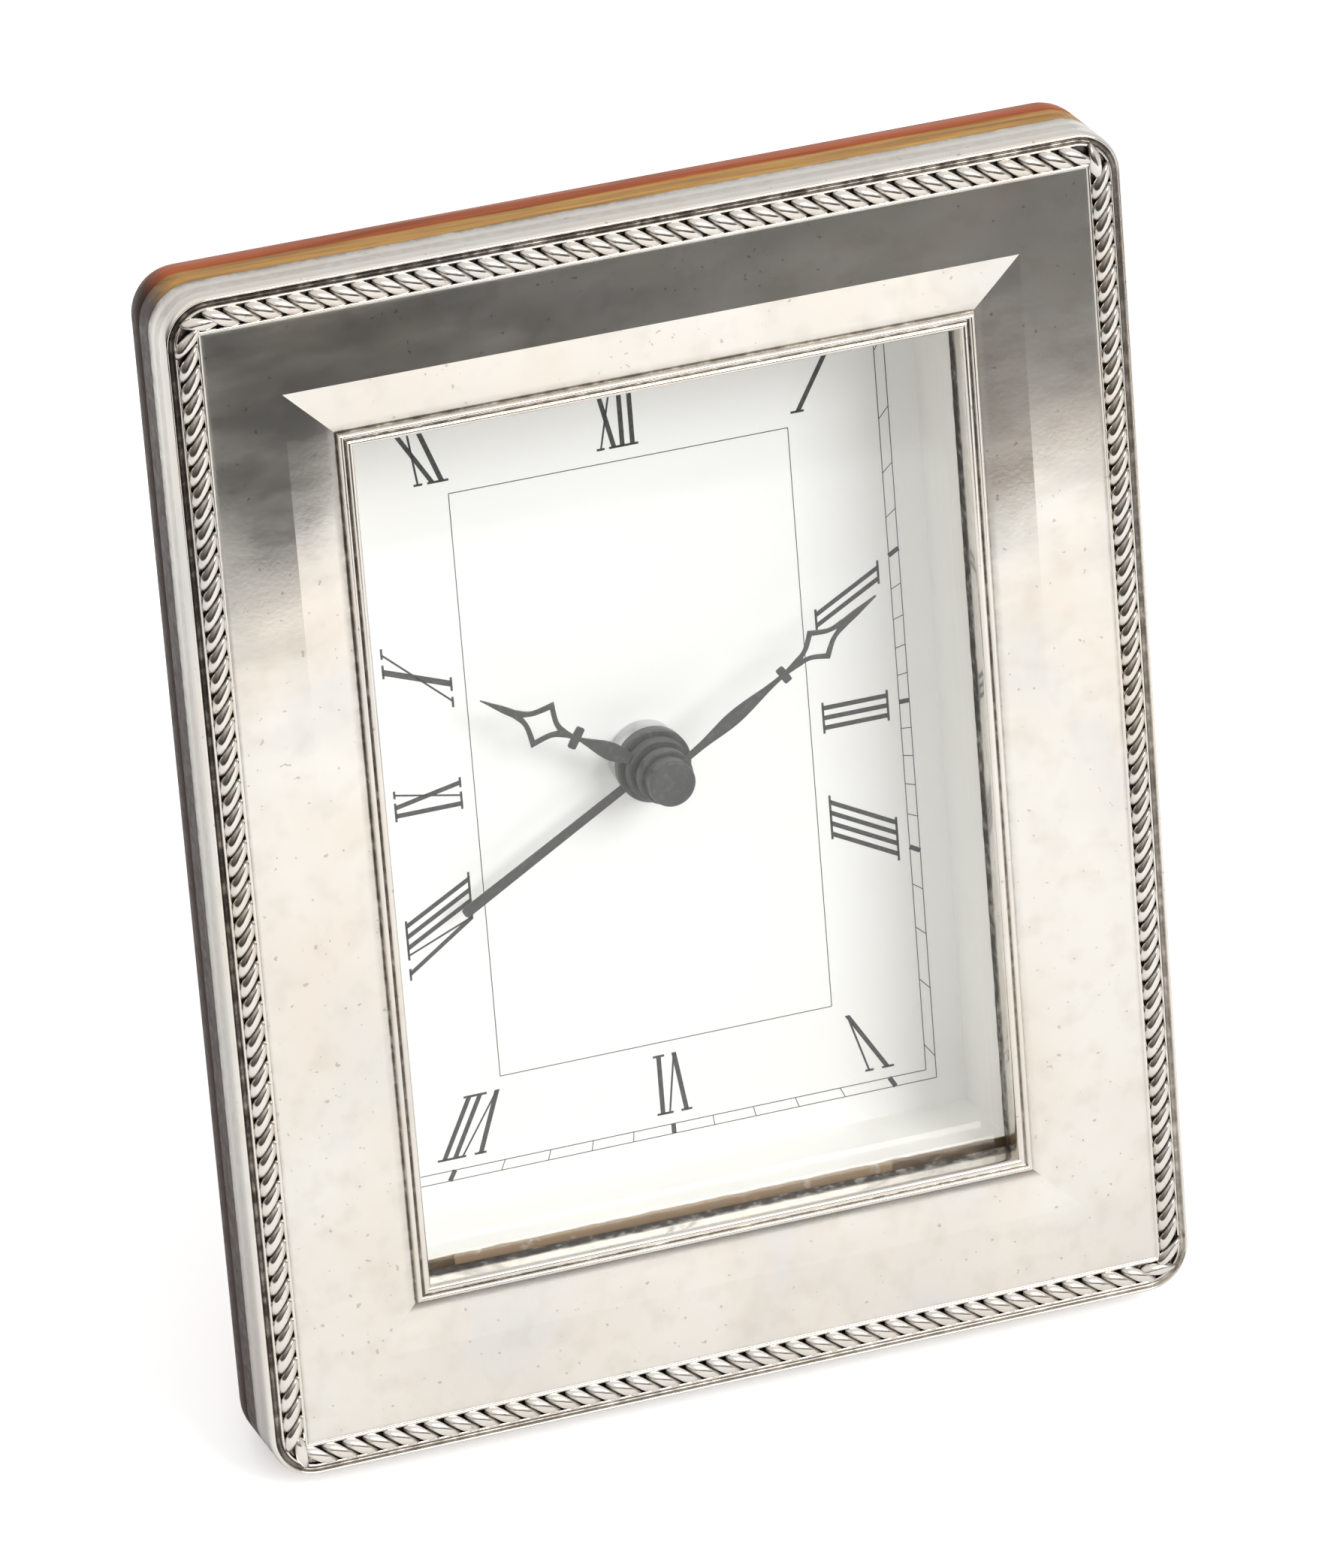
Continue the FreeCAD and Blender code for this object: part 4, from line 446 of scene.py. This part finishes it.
def rope_tree():
    """Copies a strand along a closed line, turned with the line and facing the front."""
    tree = bpy.data.node_groups.new("rope_twist", "GeometryNodeTree")
    tree.interface.new_socket("Line", in_out="INPUT", socket_type="NodeSocketGeometry")
    strands = tree.interface.new_socket("Strands", in_out="INPUT", socket_type="NodeSocketInt")
    strand = tree.interface.new_socket("Strand", in_out="INPUT", socket_type="NodeSocketObject")
    finish = tree.interface.new_socket("Finish", in_out="INPUT", socket_type="NodeSocketMaterial")
    tree.interface.new_socket("Rope", in_out="OUTPUT", socket_type="NodeSocketGeometry")
    given = add_node(tree, "NodeGroupInput")
    points = add_node(tree, "GeometryNodeCurveToPoints", {"mode": "COUNT"},
                      Curve=given.outputs["Line"], Count=given.outputs["Strands"])
    shape = add_node(tree, "GeometryNodeObjectInfo", Object=given.outputs["Strand"])
    facing = add_node(tree, "FunctionNodeAxesToRotation", {"primary_axis": "Z", "secondary_axis": "X"},
                      _0=(0, 0, 1), _1=points.outputs["Tangent"])
    copies = add_node(tree, "GeometryNodeInstanceOnPoints", Points=points.outputs["Points"],
                      Instance=shape.outputs["Geometry"], Rotation=facing.outputs[0])
    real = add_node(tree, "GeometryNodeRealizeInstances", Geometry=copies.outputs[0])
    smooth = add_node(tree, "GeometryNodeSetShadeSmooth", Geometry=real.outputs[0])
    dressed = add_node(tree, "GeometryNodeSetMaterial", Geometry=smooth.outputs[0],
                       Material=given.outputs["Finish"])
    add_node(tree, "NodeGroupOutput", Rope=dressed.outputs[0])
    return tree, strands.identifier, strand.identifier, finish.identifier


def evaluated_mesh(thing, name):
    """The plain mesh that an object's modifiers make."""
    bpy.context.view_layer.update()
    graph = bpy.context.evaluated_depsgraph_get()
    mesh = bpy.data.meshes.new_from_object(thing.evaluated_get(graph), depsgraph=graph)
    mesh.name = name
    return mesh


def build_rope():
    rope_inset = 2.37
    pitch_wanted = 2.18
    bend_radius = outer_radius - rope_inset
    points = frame_outline(rope_inset, bend_radius, 16)
    length = 0.0
    for first, second in zip(points, points[1:] + points[:1]):
        length += math.dist(first, second)
    strands = round(length / pitch_wanted)
    line = bpy.data.curves.new("rope_line", "CURVE")
    line.dimensions = "3D"
    spline = line.splines.new("POLY")
    spline.points.add(len(points) - 1)
    for spot, (across, up) in zip(spline.points, points):
        spot.co = (across, up, 0, 1)
    spline.use_cyclic_u = True
    path = bpy.data.objects.new("rope_line", line)
    bpy.context.scene.collection.objects.link(path)
    sample = bpy.data.objects.new("rope_strand", strand_mesh(length / strands))
    bpy.context.scene.collection.objects.link(sample)
    tree, strands_input, strand_input, finish_input = rope_tree()
    modifier = path.modifiers.new("rope_twist", "NODES")
    modifier.node_group = tree
    modifier[strands_input] = strands
    modifier[strand_input] = sample
    modifier[finish_input] = silver
    mesh = evaluated_mesh(path, "rope_border")
    bpy.data.objects.remove(path)
    bpy.data.objects.remove(sample)
    mesh.transform(flat_to_world)
    put_in("rope_border", mesh, silver, "case")


build_rope()


# Wooden frame: mahogany with a golden front lamination, routed inside and rounded at the back.
# Its lower back edge is planed flat, and the clock stands on that strip.
def ragged_depth(tree, scale, detail, raggedness):
    """Depth in metres behind the silver's flat band, made uneven by noise."""
    backward = Vector((0, math.cos(lean), -math.sin(lean)))
    place = add_node(tree, "ShaderNodeTexCoord").outputs["Object"]
    reach = add_node(tree, "ShaderNodeVectorMath", {"operation": "DOT_PRODUCT"}, _0=place, _1=backward)
    depth = math_node(tree, "SUBTRACT", reach.outputs["Value"], flat_to_world.translation.dot(backward))
    uneven = math_node(tree, "MULTIPLY", noise_value(tree, scale, detail), raggedness)
    return math_node(tree, "ADD", depth, uneven)


def wood_material(name, front_colour, back_colour, split_depth, dark_share, grain_run):
    """Straight-grained lacquered wood whose front lamination has its own colour; its far left side is painted
    almost black as shade.
    """
    material = new_material(name)
    tree = material.node_tree
    split = split_depth * millimetre + 0.0004
    half_blur = 0.0003
    side = stepped(tree, ragged_depth(tree, 120.0, 3.0, 0.0008), split - half_blur, split + half_blur)
    colour = blended(tree, side, front_colour, back_colour)
    grain = noise_value(tree, 900.0, 5.0, grain_run, 0.4)
    fibre = noise_value(tree, 3500.0, 3.0, grain_run)
    grain_share = math_node(tree, "MULTIPLY", stepped(tree, grain, 0.4, 0.7), dark_share)
    colour = blended(tree, grain_share, colour, scaled(back_colour, 0.35))
    fibre_share = math_node(tree, "MULTIPLY", stepped(tree, fibre, 0.55, 0.75), dark_share * 0.7)
    colour = blended(tree, fibre_share, colour, scaled(back_colour, 0.5))
    place = add_node(tree, "ShaderNodeTexCoord").outputs["Object"]
    across = add_node(tree, "ShaderNodeSeparateXYZ", Vector=place).outputs["X"]
    # Painted shade: beyond this span on the left the frame is coloured almost black, as if in shadow.
    left_shade_span = (-0.0492, -0.0464)
    painted_left_shade_colour = (0.035, 0.016, 0.009)
    colour = blended(tree, stepped(tree, across, *left_shade_span, 1.0, 0.0), colour, painted_left_shade_colour)
    rough = stepped(tree, grain, 0.3, 0.7, 0.32, 0.5)
    bump = bumped(tree, fibre, 0.00002)
    give_surface(tree, Base_Color=colour, Roughness=rough, Normal=bump, Specular_IOR_Level=0.2)
    return material


mahogany = wood_material("edge_mahogany", (0.52, 0.25, 0.006), (0.36, 0.08, 0.02), 8.3, 0.7, (0.06, 1.0, 1.0))


def build_wood():
    back = 14.8
    radius = 4.5
    section = [(0.0, -5.2, 0.0, True), (0.0, -8.25, 0.0, False), (0.06, -8.3, 0.0, False),
               (0.0, -8.35, 0.0, False)]
    steps = 10
    for step in range(steps + 1):
        angle = math.pi / 2 * step / steps
        section.append((radius * (1 - math.cos(angle)), radius - back - radius * math.sin(angle), 0.0, False))
    section += [(15.1, -back, 0.0, True), (15.1, -3.6, 0.0, True), (17.75, -3.6, 0.0, True),
                (17.75, -0.86, 0.0, True), (0.46, -0.86, 0.0, True), (0.46, -5.2, 0.0, True)]
    mesh = swept_frame("wood_body", section, outer_radius, corner_steps)
    for vert in mesh.vertices:
        vert.co.z = max(vert.co.z, 0.0)
    put_in("wood_body", mesh, mahogany, "case", ["wood_frame"])


build_wood()


# Glass: a plain pane of float glass that lies in the frame's rebate, behind the turned-in lip.
# It only reflects and lets light through.
def glass_material():
    material = new_material("clear_pane")
    tree = material.node_tree
    smear = stepped(tree, noise_value(tree, 60.0, 5.0), 0.4, 0.7, 0.015, 0.05)
    gloss = add_node(tree, "ShaderNodeBsdfPrincipled", Base_Color=(1, 1, 1, 1), Roughness=smear,
                     Metallic=1.0)
    clear = add_node(tree, "ShaderNodeBsdfTransparent", Color=(0.995, 0.997, 0.995, 1))
    facing = add_node(tree, "ShaderNodeLayerWeight", Blend=0.5).outputs["Facing"]
    steep = math_node(tree, "POWER", facing, 5.0)
    share = stepped(tree, steep, 0.0, 1.0, 0.03, 0.9)
    mixed = add_node(tree, "ShaderNodeMixShader", _0=share, _1=clear.outputs[0], _2=gloss.outputs[0])
    add_node(tree, "ShaderNodeOutputMaterial", Surface=mixed.outputs[0])
    return material


def soft_edge_tree():
    """Joins a node's loose triangles and keeps only its true corners sharp."""
    tree = bpy.data.node_groups.new("soft_edges", "GeometryNodeTree")
    tree.interface.new_socket("Geometry", in_out="INPUT", socket_type="NodeSocketGeometry")
    tree.interface.new_socket("Geometry", in_out="OUTPUT", socket_type="NodeSocketGeometry")
    given = add_node(tree, "NodeGroupInput")
    whole = add_node(tree, "GeometryNodeMergeByDistance", Geometry=given.outputs[0], Distance=0.000001)
    smooth = add_node(tree, "GeometryNodeSetShadeSmooth", Geometry=whole.outputs[0])
    angle = add_node(tree, "GeometryNodeInputMeshEdgeAngle")
    least_corner = 0.55
    corner = add_node(tree, "FunctionNodeCompare", {"operation": "GREATER_THAN"}, _0=angle.outputs[0],
                      _1=least_corner)
    sharp = add_node(tree, "GeometryNodeSetShadeSmooth", {"domain": "EDGE"}, Geometry=smooth.outputs[0],
                     Selection=corner.outputs[0], Shade_Smooth=False)
    add_node(tree, "NodeGroupOutput", _0=sharp.outputs[0])
    return tree


soft_edges = soft_edge_tree()


def dress(node, material):
    """Gives a node its finish and smooth shading, its shape untouched."""
    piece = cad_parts[node]
    piece.data.materials.clear()
    piece.data.materials.append(material)
    modifier = piece.modifiers.new("soft_edges", "NODES")
    modifier.node_group = soft_edges


dress("glass", glass_material())


# Reveal liner and dial plate: a white painted box frame that keeps the glass and the dial apart,
# and a white enamelled plate. The paint stops just short of the glass and ends in a ragged edge.
def painted_material(name, colour, soiled, roughness, scale, bare_edge=0.0):
    """Matt paint or card with faint stains; nearer than the bare edge's depth it shows brown."""
    material = new_material(name)
    tree = material.node_tree
    stain = stepped(tree, noise_value(tree, scale, 5.0, warp=0.5), 0.5, 0.78)
    tone = blended(tree, math_node(tree, "MULTIPLY", stain, 0.5), colour, soiled)
    if bare_edge:
        front = bare_edge * millimetre + 0.0005
        bare_brown = (0.4, 0.3, 0.2)
        bare = stepped(tree, ragged_depth(tree, 420.0, 6.0, 0.0009), front, front + 0.0002, 1.0, 0.0)
        tone = blended(tree, bare, tone, bare_brown)
    rough = stepped(tree, stain, 0.0, 1.0, roughness, roughness + 0.15)
    bump = bumped(tree, noise_value(tree, scale * 12, 3.0), 0.00001)
    give_surface(tree, Base_Color=tone, Roughness=rough, Normal=bump)
    return material


liner_paint = painted_material("liner_paint", (0.95, 0.945, 0.91), (0.86, 0.83, 0.76), 0.55, 90.0, 5.65)
dial_enamel = painted_material("dial_enamel", (0.95, 0.95, 0.935), (0.92, 0.91, 0.885), 0.4, 45.0)
dress("reveal_liner", liner_paint)
dress("dial_plate", dial_enamel)


# Dial print: roman numerals that lean outwards from the centre, a thin inner rectangle and
# a rectangular minute track, all printed in dark grey. The feet of the numerals face the centre.
dial_depth = 16.45
arbor_across = 0.36
arbor_up = 63.77


def ink_material():
    material = new_material("dial_ink")
    tree = material.node_tree
    worn = noise_value(tree, 2500.0, 3.0)
    tone = blended(tree, stepped(tree, worn, 0.35, 0.7), (0.035, 0.035, 0.035), (0.075, 0.075, 0.073))
    give_surface(tree, Base_Color=tone, Roughness=0.5)
    return material


def build_print():
    film = 0.015
    thick = 0.5
    thin = 0.2
    serif = 0.24
    hairline = 0.085
    mesh_data = bmesh.new()

    def patch(corners):
        """A thin film of ink with four corners, given from the dial's centre."""
        low = []
        top = []
        for across, up in corners:
            place = (arbor_across + across, arbor_up + up)
            low.append(mesh_data.verts.new((*place, -dial_depth - film)))
            top.append(mesh_data.verts.new((*place, -dial_depth + film)))
        mesh_data.faces.new(top)
        mesh_data.faces.new(list(reversed(low)))
        for index in range(4):
            after = (index + 1) % 4
            mesh_data.faces.new((low[index], low[after], top[after], top[index]))

    def line(start, stop, width):
        run = Vector((stop[0] - start[0], stop[1] - start[1]))
        side = Vector((-run.y, run.x)).normalized() * width / 2
        patch([(start[0] - side.x, start[1] - side.y), (stop[0] - side.x, stop[1] - side.y),
               (stop[0] + side.x, stop[1] + side.y), (start[0] + side.x, start[1] + side.y)])

    def numeral(text, side, centre, slope, inner, outer, stretch=1.0):
        """Strokes between the inner and outer lines of one side of the dial."""
        along = {"top": (1, 0), "right": (0, -1), "bottom": (-1, 0), "left": (0, 1)}[side]
        out = {"top": (0, 1), "right": (1, 0), "bottom": (0, -1), "left": (-1, 0)}[side]
        height = outer - inner

        def spot(shift, rise):
            reach = inner + rise * height
            travel = centre + shift + slope * (rise - 0.5) * height
            return (along[0] * travel + out[0] * reach, along[1] * travel + out[1] * reach)

        def stroke(foot, head, width):
            half = width / 2 * stretch
            patch([spot(foot - half, 0), spot(foot + half, 0), spot(head + half, 1), spot(head - half, 1)])

        def foot_line(shift, rise, half):
            middle = centre + shift + slope * (rise - 0.5) * height
            near = inner if rise == 0 else outer - serif
            patch([(along[0] * travel + out[0] * reach, along[1] * travel + out[1] * reach)
                   for travel, reach in ((middle - half, near), (middle + half, near),
                                         (middle + half, near + serif), (middle - half, near + serif))])

        widths = {"I": 1.08, "V": 2.25, "X": 2.1}
        total = sum(widths[letter] for letter in text) * stretch
        cursor = -total / 2
        for letter in text:
            middle = cursor + widths[letter] * stretch / 2
            cursor += widths[letter] * stretch
            if letter == "I":
                stroke(middle, middle, thick)
                foot_line(middle, 0, 0.62 * stretch)
                foot_line(middle, 1, 0.62 * stretch)
            if letter == "V":
                spread = 0.93 * stretch
                stroke(middle, middle - spread, thick)
                stroke(middle, middle + spread, thin)
                foot_line(middle - spread, 1, 0.6 * stretch)
                foot_line(middle + spread, 1, 0.42 * stretch)
            if letter == "X":
                spread = 0.72 * stretch
                stroke(middle + spread, middle - spread, thick)
                stroke(middle - spread, middle + spread, thin)
                for place in (-spread, spread):
                    wide = 0.55 if (place < 0) else 0.42
                    foot_line(middle + place, 1, wide * stretch)
                    foot_line(middle + place, 0, (0.97 - wide) * stretch)

    side_lines = (19.45, 26.7)
    end_lines = (33.3, 40.0)
    numeral("XII", "top", 0.0, 0.0, *end_lines)
    numeral("I", "top", 21.2, 0.588, *end_lines, 1.15)
    numeral("II", "right", -12.55, -0.545, *side_lines, 1.1)
    numeral("III", "right", 0.1, 0.0, *side_lines)
    numeral("IIII", "right", 13.0, 0.53, *side_lines, 1.08)
    numeral("V", "bottom", -21.2, -0.45, *end_lines, 1.1)
    numeral("VI", "bottom", -0.1, 0.0, *end_lines)
    numeral("VII", "bottom", 21.4, 0.5, *end_lines, 1.08)
    numeral("VIII", "left", -14.0, -0.545, *side_lines, 1.1)
    numeral("IX", "left", -0.3, 0.0, *side_lines)
    numeral("X", "left", 13.0, 0.64, *side_lines, 1.35)
    numeral("XI", "top", -21.0, -0.36, *end_lines, 1.1)

    middle_rectangle = (18.1, 31.9)
    track_inner = (27.85, 41.2)
    track_outer = (28.95, 42.3)
    for wide, high in (middle_rectangle, track_inner, track_outer):
        for side in (-1, 1):
            line((side * wide, -high), (side * wide, high), hairline)
            line((-wide, side * high), (wide, side * high), hairline)
    five_minute_mark = 0.5
    nearly_none = 1e-6
    for minute in range(60):
        angle = math.radians(6 * minute)
        across = math.sin(angle)
        up = math.cos(angle)
        ends = []
        for wide, high in (track_inner, track_outer):
            reach = min(wide / max(abs(across), nearly_none), high / max(abs(up), nearly_none))
            ends.append((across * reach, up * reach))
        line(*ends, hairline if minute % 5 else five_minute_mark)
    mesh = finished_mesh("dial_print", mesh_data)
    mesh.transform(flat_to_world)
    put_in("dial_print", mesh, ink_material(), "case")


build_print()


# Hands: stamped from thin sheet, painted satin black, each with a turned boss in its middle.
# The hour and minute hands have a collar and an open diamond before their points.
def hand_paint(name, colour, roughness):
    material = new_material(name)
    tree = material.node_tree
    dust = stepped(tree, noise_value(tree, 1800.0, 4.0), 0.52, 0.75)
    dusty = tuple(0.12 + part for part in colour)
    tone = blended(tree, math_node(tree, "MULTIPLY", dust, 0.35), colour, dusty)
    rough = stepped(tree, dust, 0.0, 1.0, roughness, roughness + 0.2)
    give_surface(tree, Base_Color=tone, Roughness=rough,
                 Normal=bumped(tree, noise_value(tree, 5000.0, 2.0), 0.000003))
    return material


hand_black = hand_paint("hand_black", (0.05, 0.05, 0.05), 0.36)


def turned(name, outline, steps=64):
    """A piece turned about the arbor from an outline of (radius, height over the dial)."""
    mesh_data = bmesh.new()
    rings = []
    for radius, height in outline:
        ring = []
        for step in range(steps):
            angle = 2 * math.pi * step / steps
            ring.append(mesh_data.verts.new((arbor_across + radius * math.cos(angle),
                                             arbor_up + radius * math.sin(angle), height - dial_depth)))
        rings.append(ring)
    for first, second in zip(rings, rings[1:] + rings[:1]):
        for step in range(steps):
            after = (step + 1) % steps
            mesh_data.faces.new((first[step], first[after], second[after], second[step])).smooth = True
    mesh = finished_mesh(name, mesh_data)
    mesh.set_sharp_from_angle(angle=math.radians(35))
    return mesh


def curved(points, pieces=6):
    """Passes a smooth line through (along, half width, kind) places; kind c is a corner."""
    result = []
    count = len(points)
    for index in range(count - 1):
        before = points[index - 1] if index > 0 and points[index][2] != "c" else points[index]
        start = points[index]
        stop = points[index + 1]
        after = points[index + 2] if index + 2 < count and stop[2] != "c" else stop
        for step in range(pieces):
            share = step / pieces
            place = []
            for prior, here, there, later in zip(before[:2], start[:2], stop[:2], after[:2]):
                bend = 2 * prior - 5 * here + 4 * there - later
                twist = 3 * here - prior - 3 * there + later
                place.append(0.5 * (2 * here + (there - prior) * share + bend * share ** 2
                                    + twist * share ** 3))
            result.append(tuple(place))
    result.append(points[-1][:2])
    return result


def stamped_hand(name, halves, holes, angle, height):
    """A flat hand from half outlines, mirrored, cut out and pressed with a soft edge."""
    thickness = 0.3
    soft = 0.05
    line = bpy.data.curves.new(name, "CURVE")
    line.dimensions = "2D"
    line.fill_mode = "BOTH"
    line.extrude = thickness / 2 - soft
    line.bevel_depth = soft
    line.bevel_resolution = 1
    line.offset = -soft
    for half in [halves] + holes:
        sides = [(wide, along) for along, wide in half]
        sides += [(-wide, along) for along, wide in reversed(half) if wide > 0]
        spline = line.splines.new("POLY")
        spline.points.add(len(sides) - 1)
        for spot, (across, along) in zip(spline.points, sides):
            spot.co = (across, along, 0, 1)
        spline.use_cyclic_u = True
    drawn = bpy.data.objects.new(name, line)
    bpy.context.scene.collection.objects.link(drawn)
    mesh = evaluated_mesh(drawn, name)
    bpy.data.objects.remove(drawn)
    turn = Matrix.Rotation(-math.radians(angle), 4, "Z")
    middle = Matrix.Translation((arbor_across, arbor_up, height - thickness / 2 - dial_depth))
    mesh.transform(middle @ turn)
    return mesh


def joined_mesh(name, meshes):
    whole = bmesh.new()
    for mesh in meshes:
        whole.from_mesh(mesh)
    result = finished_mesh(name, whole)
    result.transform(flat_to_world)
    return result


def open_diamond_hand(name, length, collar, near, corner, far, wide, blade, angle, height):
    """The outline of a hand with a leaf blade, a collar and an open diamond."""
    rib = 0.5 * wide / 2.6 + 0.12
    waist = wide * 0.36
    neck = wide * 0.42
    brim = wide * 0.46
    half = curved([(0.0, blade * 0.42, "c"), (collar * 0.3, blade * 0.5, "s"), (collar * 0.58, blade, "s"),
                   (collar * 0.86, blade * 0.42, "s"), (collar - 0.48, 0.2, "c")], 5)
    half += [(collar - 0.46, neck), (collar - 0.3, brim), (collar + 0.25, brim), (collar + 0.42, neck)]
    half += curved([(collar + 0.46, 0.24, "c"), (near, 0.42, "s"), ((near + corner) / 2 - 0.1, waist, "s"),
                    (corner, wide, "c")], 5)
    half += curved([(corner, wide, "c"), ((corner + far) / 2 + 0.1, waist, "s"), (far, 0.46, "s"),
                    (far + 0.55, 0.4, "c")], 5)[1:]
    half += curved([(far + 0.6, 0.4, "c"), (far + 1.7, 0.34, "s"), (length - 1.2, 0.18, "s"),
                    (length, 0.05, "c")], 5)
    hole_corner = (corner, wide - rib * 1.35, "c")
    hole_waist = waist - rib * 0.55
    hole = curved([(near + rib * 1.3, 0.0, "c"), ((near + corner) / 2 + 0.3, hole_waist, "s"),
                   hole_corner], 5)
    hole += curved([hole_corner, ((corner + far) / 2 - 0.3, hole_waist, "s"),
                    (far - rib * 1.3, 0.0, "c")], 5)[1:]
    return stamped_hand(name, half, [hole], angle, height)


def turned_boss(name, bore, radius, foot, chamfer):
    """A boss with a small chamfer at both ends."""
    top = foot + 1.3
    bevel = 0.15
    return turned(name, [(bore, foot), (radius - chamfer, foot), (radius, foot + bevel),
                         (radius, top - bevel), (radius - chamfer, top), (bore, top)])


def put_hand(node, body, parts):
    name = node + "_dressed"
    put_in(name, joined_mesh(name, parts), hand_black, body, [node])


hour_plate = open_diamond_hand("hour_plate", length=21.35, collar=9.95, near=11.3, corner=13.95, far=17.1,
                               wide=2.6, blade=0.95, angle=301.8, height=5.0)
hour_boss = turned_boss("hour_boss", bore=1.82, radius=3.4, foot=4.05, chamfer=0.2)
put_hand("hour_hand", "hour", [hour_plate, hour_boss])
minute_plate = open_diamond_hand("minute_plate", length=28.1, collar=15.8, near=17.5, corner=20.45, far=23.75,
                                 wide=2.0, blade=0.78, angle=57.9, height=7.1)
minute_boss = turned_boss("minute_boss", bore=1.02, radius=2.9, foot=6.05, chamfer=0.15)
put_hand("minute_hand", "minute", [minute_plate, minute_boss])
alarm_outline = [(0.0, 0.45), (4.0, 0.46), (14.0, 0.5), (24.1, 0.57), (24.4, 0.46), (24.5, 0.25)]
alarm_plate = stamped_hand("alarm_plate", alarm_outline, [], angle=240.6, height=3.4)
alarm_boss = turned_boss("alarm_boss", bore=2.67, radius=3.95, foot=2.45, chamfer=0.2)
put_hand("alarm_hand", "alarm", [alarm_plate, alarm_boss])
cap_turning = turned("cap_turning", [
    (0.02, 8.35), (1.03, 8.35), (1.03, 7.36), (2.3, 7.36), (2.44, 7.46), (2.46, 9.0),
    (2.42, 9.2), (2.3, 9.32), (2.18, 9.35), (2.02, 9.3), (0.02, 9.24)])
put_hand("centre_cap", "minute", [cap_turning])


# Ring nut: turned brass with bright plating. It is screwed on the movement's bush, which comes
# through the dial, and holds the dial and the movement together.
def metal_material(name, colour, roughness, stained, scale=500.0):
    """Bare or plated metal with fine turning marks and faint stains."""
    material = new_material(name)
    tree = material.node_tree
    stain = stepped(tree, noise_value(tree, scale, 4.0), 0.45, 0.75)
    tone = blended(tree, math_node(tree, "MULTIPLY", stain, 0.6), colour, stained)
    rough = stepped(tree, stain, 0.0, 1.0, roughness, roughness + 0.25)
    give_surface(tree, Base_Color=tone, Roughness=rough, Metallic=1.0,
                 Normal=bumped(tree, noise_value(tree, scale * 6, 2.0), 0.000004))
    return material


chrome = metal_material("nut_plating", (0.62, 0.62, 0.63), 0.1, (0.36, 0.35, 0.34))
nut = turned("nut_turning", [
    (3.3, 0.0), (3.65, 0.0), (3.75, 0.12), (3.75, 1.9), (3.63, 2.1), (3.4, 2.1), (3.3, 2.0)])
put_in("ring_nut_dressed", joined_mesh("ring_nut_dressed", [nut]), chrome, "case", ["ring_nut"])

# Back board and strut: dark mahogany, the grain upright. Four brass screws hold the board in the
# frame, and the strut hangs on a small brass hinge with a steel pin, screwed to both.
board_colour = (0.26, 0.11, 0.06)
back_mahogany = wood_material("back_mahogany", board_colour, board_colour, 0.0, 0.55, (1.0, 1.0, 0.05))
brass = metal_material("aged_brass", (0.72, 0.52, 0.25), 0.28, (0.33, 0.2, 0.09))
steel = metal_material("bright_steel", (0.62, 0.62, 0.64), 0.25, (0.4, 0.38, 0.36))
for node in ("back_panel", "strut"):
    dress(node, back_mahogany)
for node in ("back_panel_screws", "hinge_leaf_fixed", "hinge_leaf_moving", "fixed_leaf_screws",
             "strut_leaf_screws"):
    dress(node, brass)
dress("hinge_pin", steel)


# Movement: a black moulded case in two halves, with pale acetal wheels on a steel arbor, a coil,
# a board, a brass buzzer and a cell between two steel contacts. Knobs and switch stand out behind.
def plastic_material(name, colour, roughness, grain):
    """Moulded plastic with a fine spark-eroded grain and slight colour drift."""
    material = new_material(name)
    tree = material.node_tree
    drift = stepped(tree, noise_value(tree, 80.0, 3.0), 0.3, 0.7)
    drifted = tuple(part * 0.75 + 0.01 for part in colour)
    tone = blended(tree, math_node(tree, "MULTIPLY", drift, 0.3), colour, drifted)
    rough = stepped(tree, noise_value(tree, 1500.0, 2.0), 0.3, 0.7, roughness - 0.05, roughness + 0.08)
    give_surface(tree, Base_Color=tone, Roughness=rough,
                 Normal=bumped(tree, noise_value(tree, 6000.0, 2.0), grain))
    return material


for look, nodes in (
        (plastic_material("case_black", (0.025, 0.025, 0.027), 0.5, 0.000015),
         ("movement_front_case", "movement_rear_case")),
        (plastic_material("knob_black", (0.035, 0.035, 0.037), 0.3, 0.000002),
         ("time_set_knob", "alarm_set_knob")),
        (plastic_material("switch_white", (0.72, 0.71, 0.68), 0.4, 0.000003), ("alarm_switch",)),
        (plastic_material("wheel_acetal", (0.8, 0.78, 0.7), 0.4, 0.000002),
         ("middle_plate", "hour_wheel", "alarm_wheel", "motion_wheel", "alarm_pinion")),
        (plastic_material("board_lacquer", (0.05, 0.22, 0.09), 0.3, 0.000004), ("circuit_board",)),
        (metal_material("coil_wire", (0.65, 0.3, 0.15), 0.35, (0.4, 0.16, 0.07), 2500.0), ("coil",)),
        (metal_material("cell_jacket", (0.25, 0.27, 0.31), 0.32, (0.2, 0.22, 0.26), 120.0), ("battery",)),
        (steel, ("minute_arbor", "battery_contact_minus", "battery_contact_plus")),
        (brass, ("buzzer",))):
    for node in nodes:
        dress(node, look)
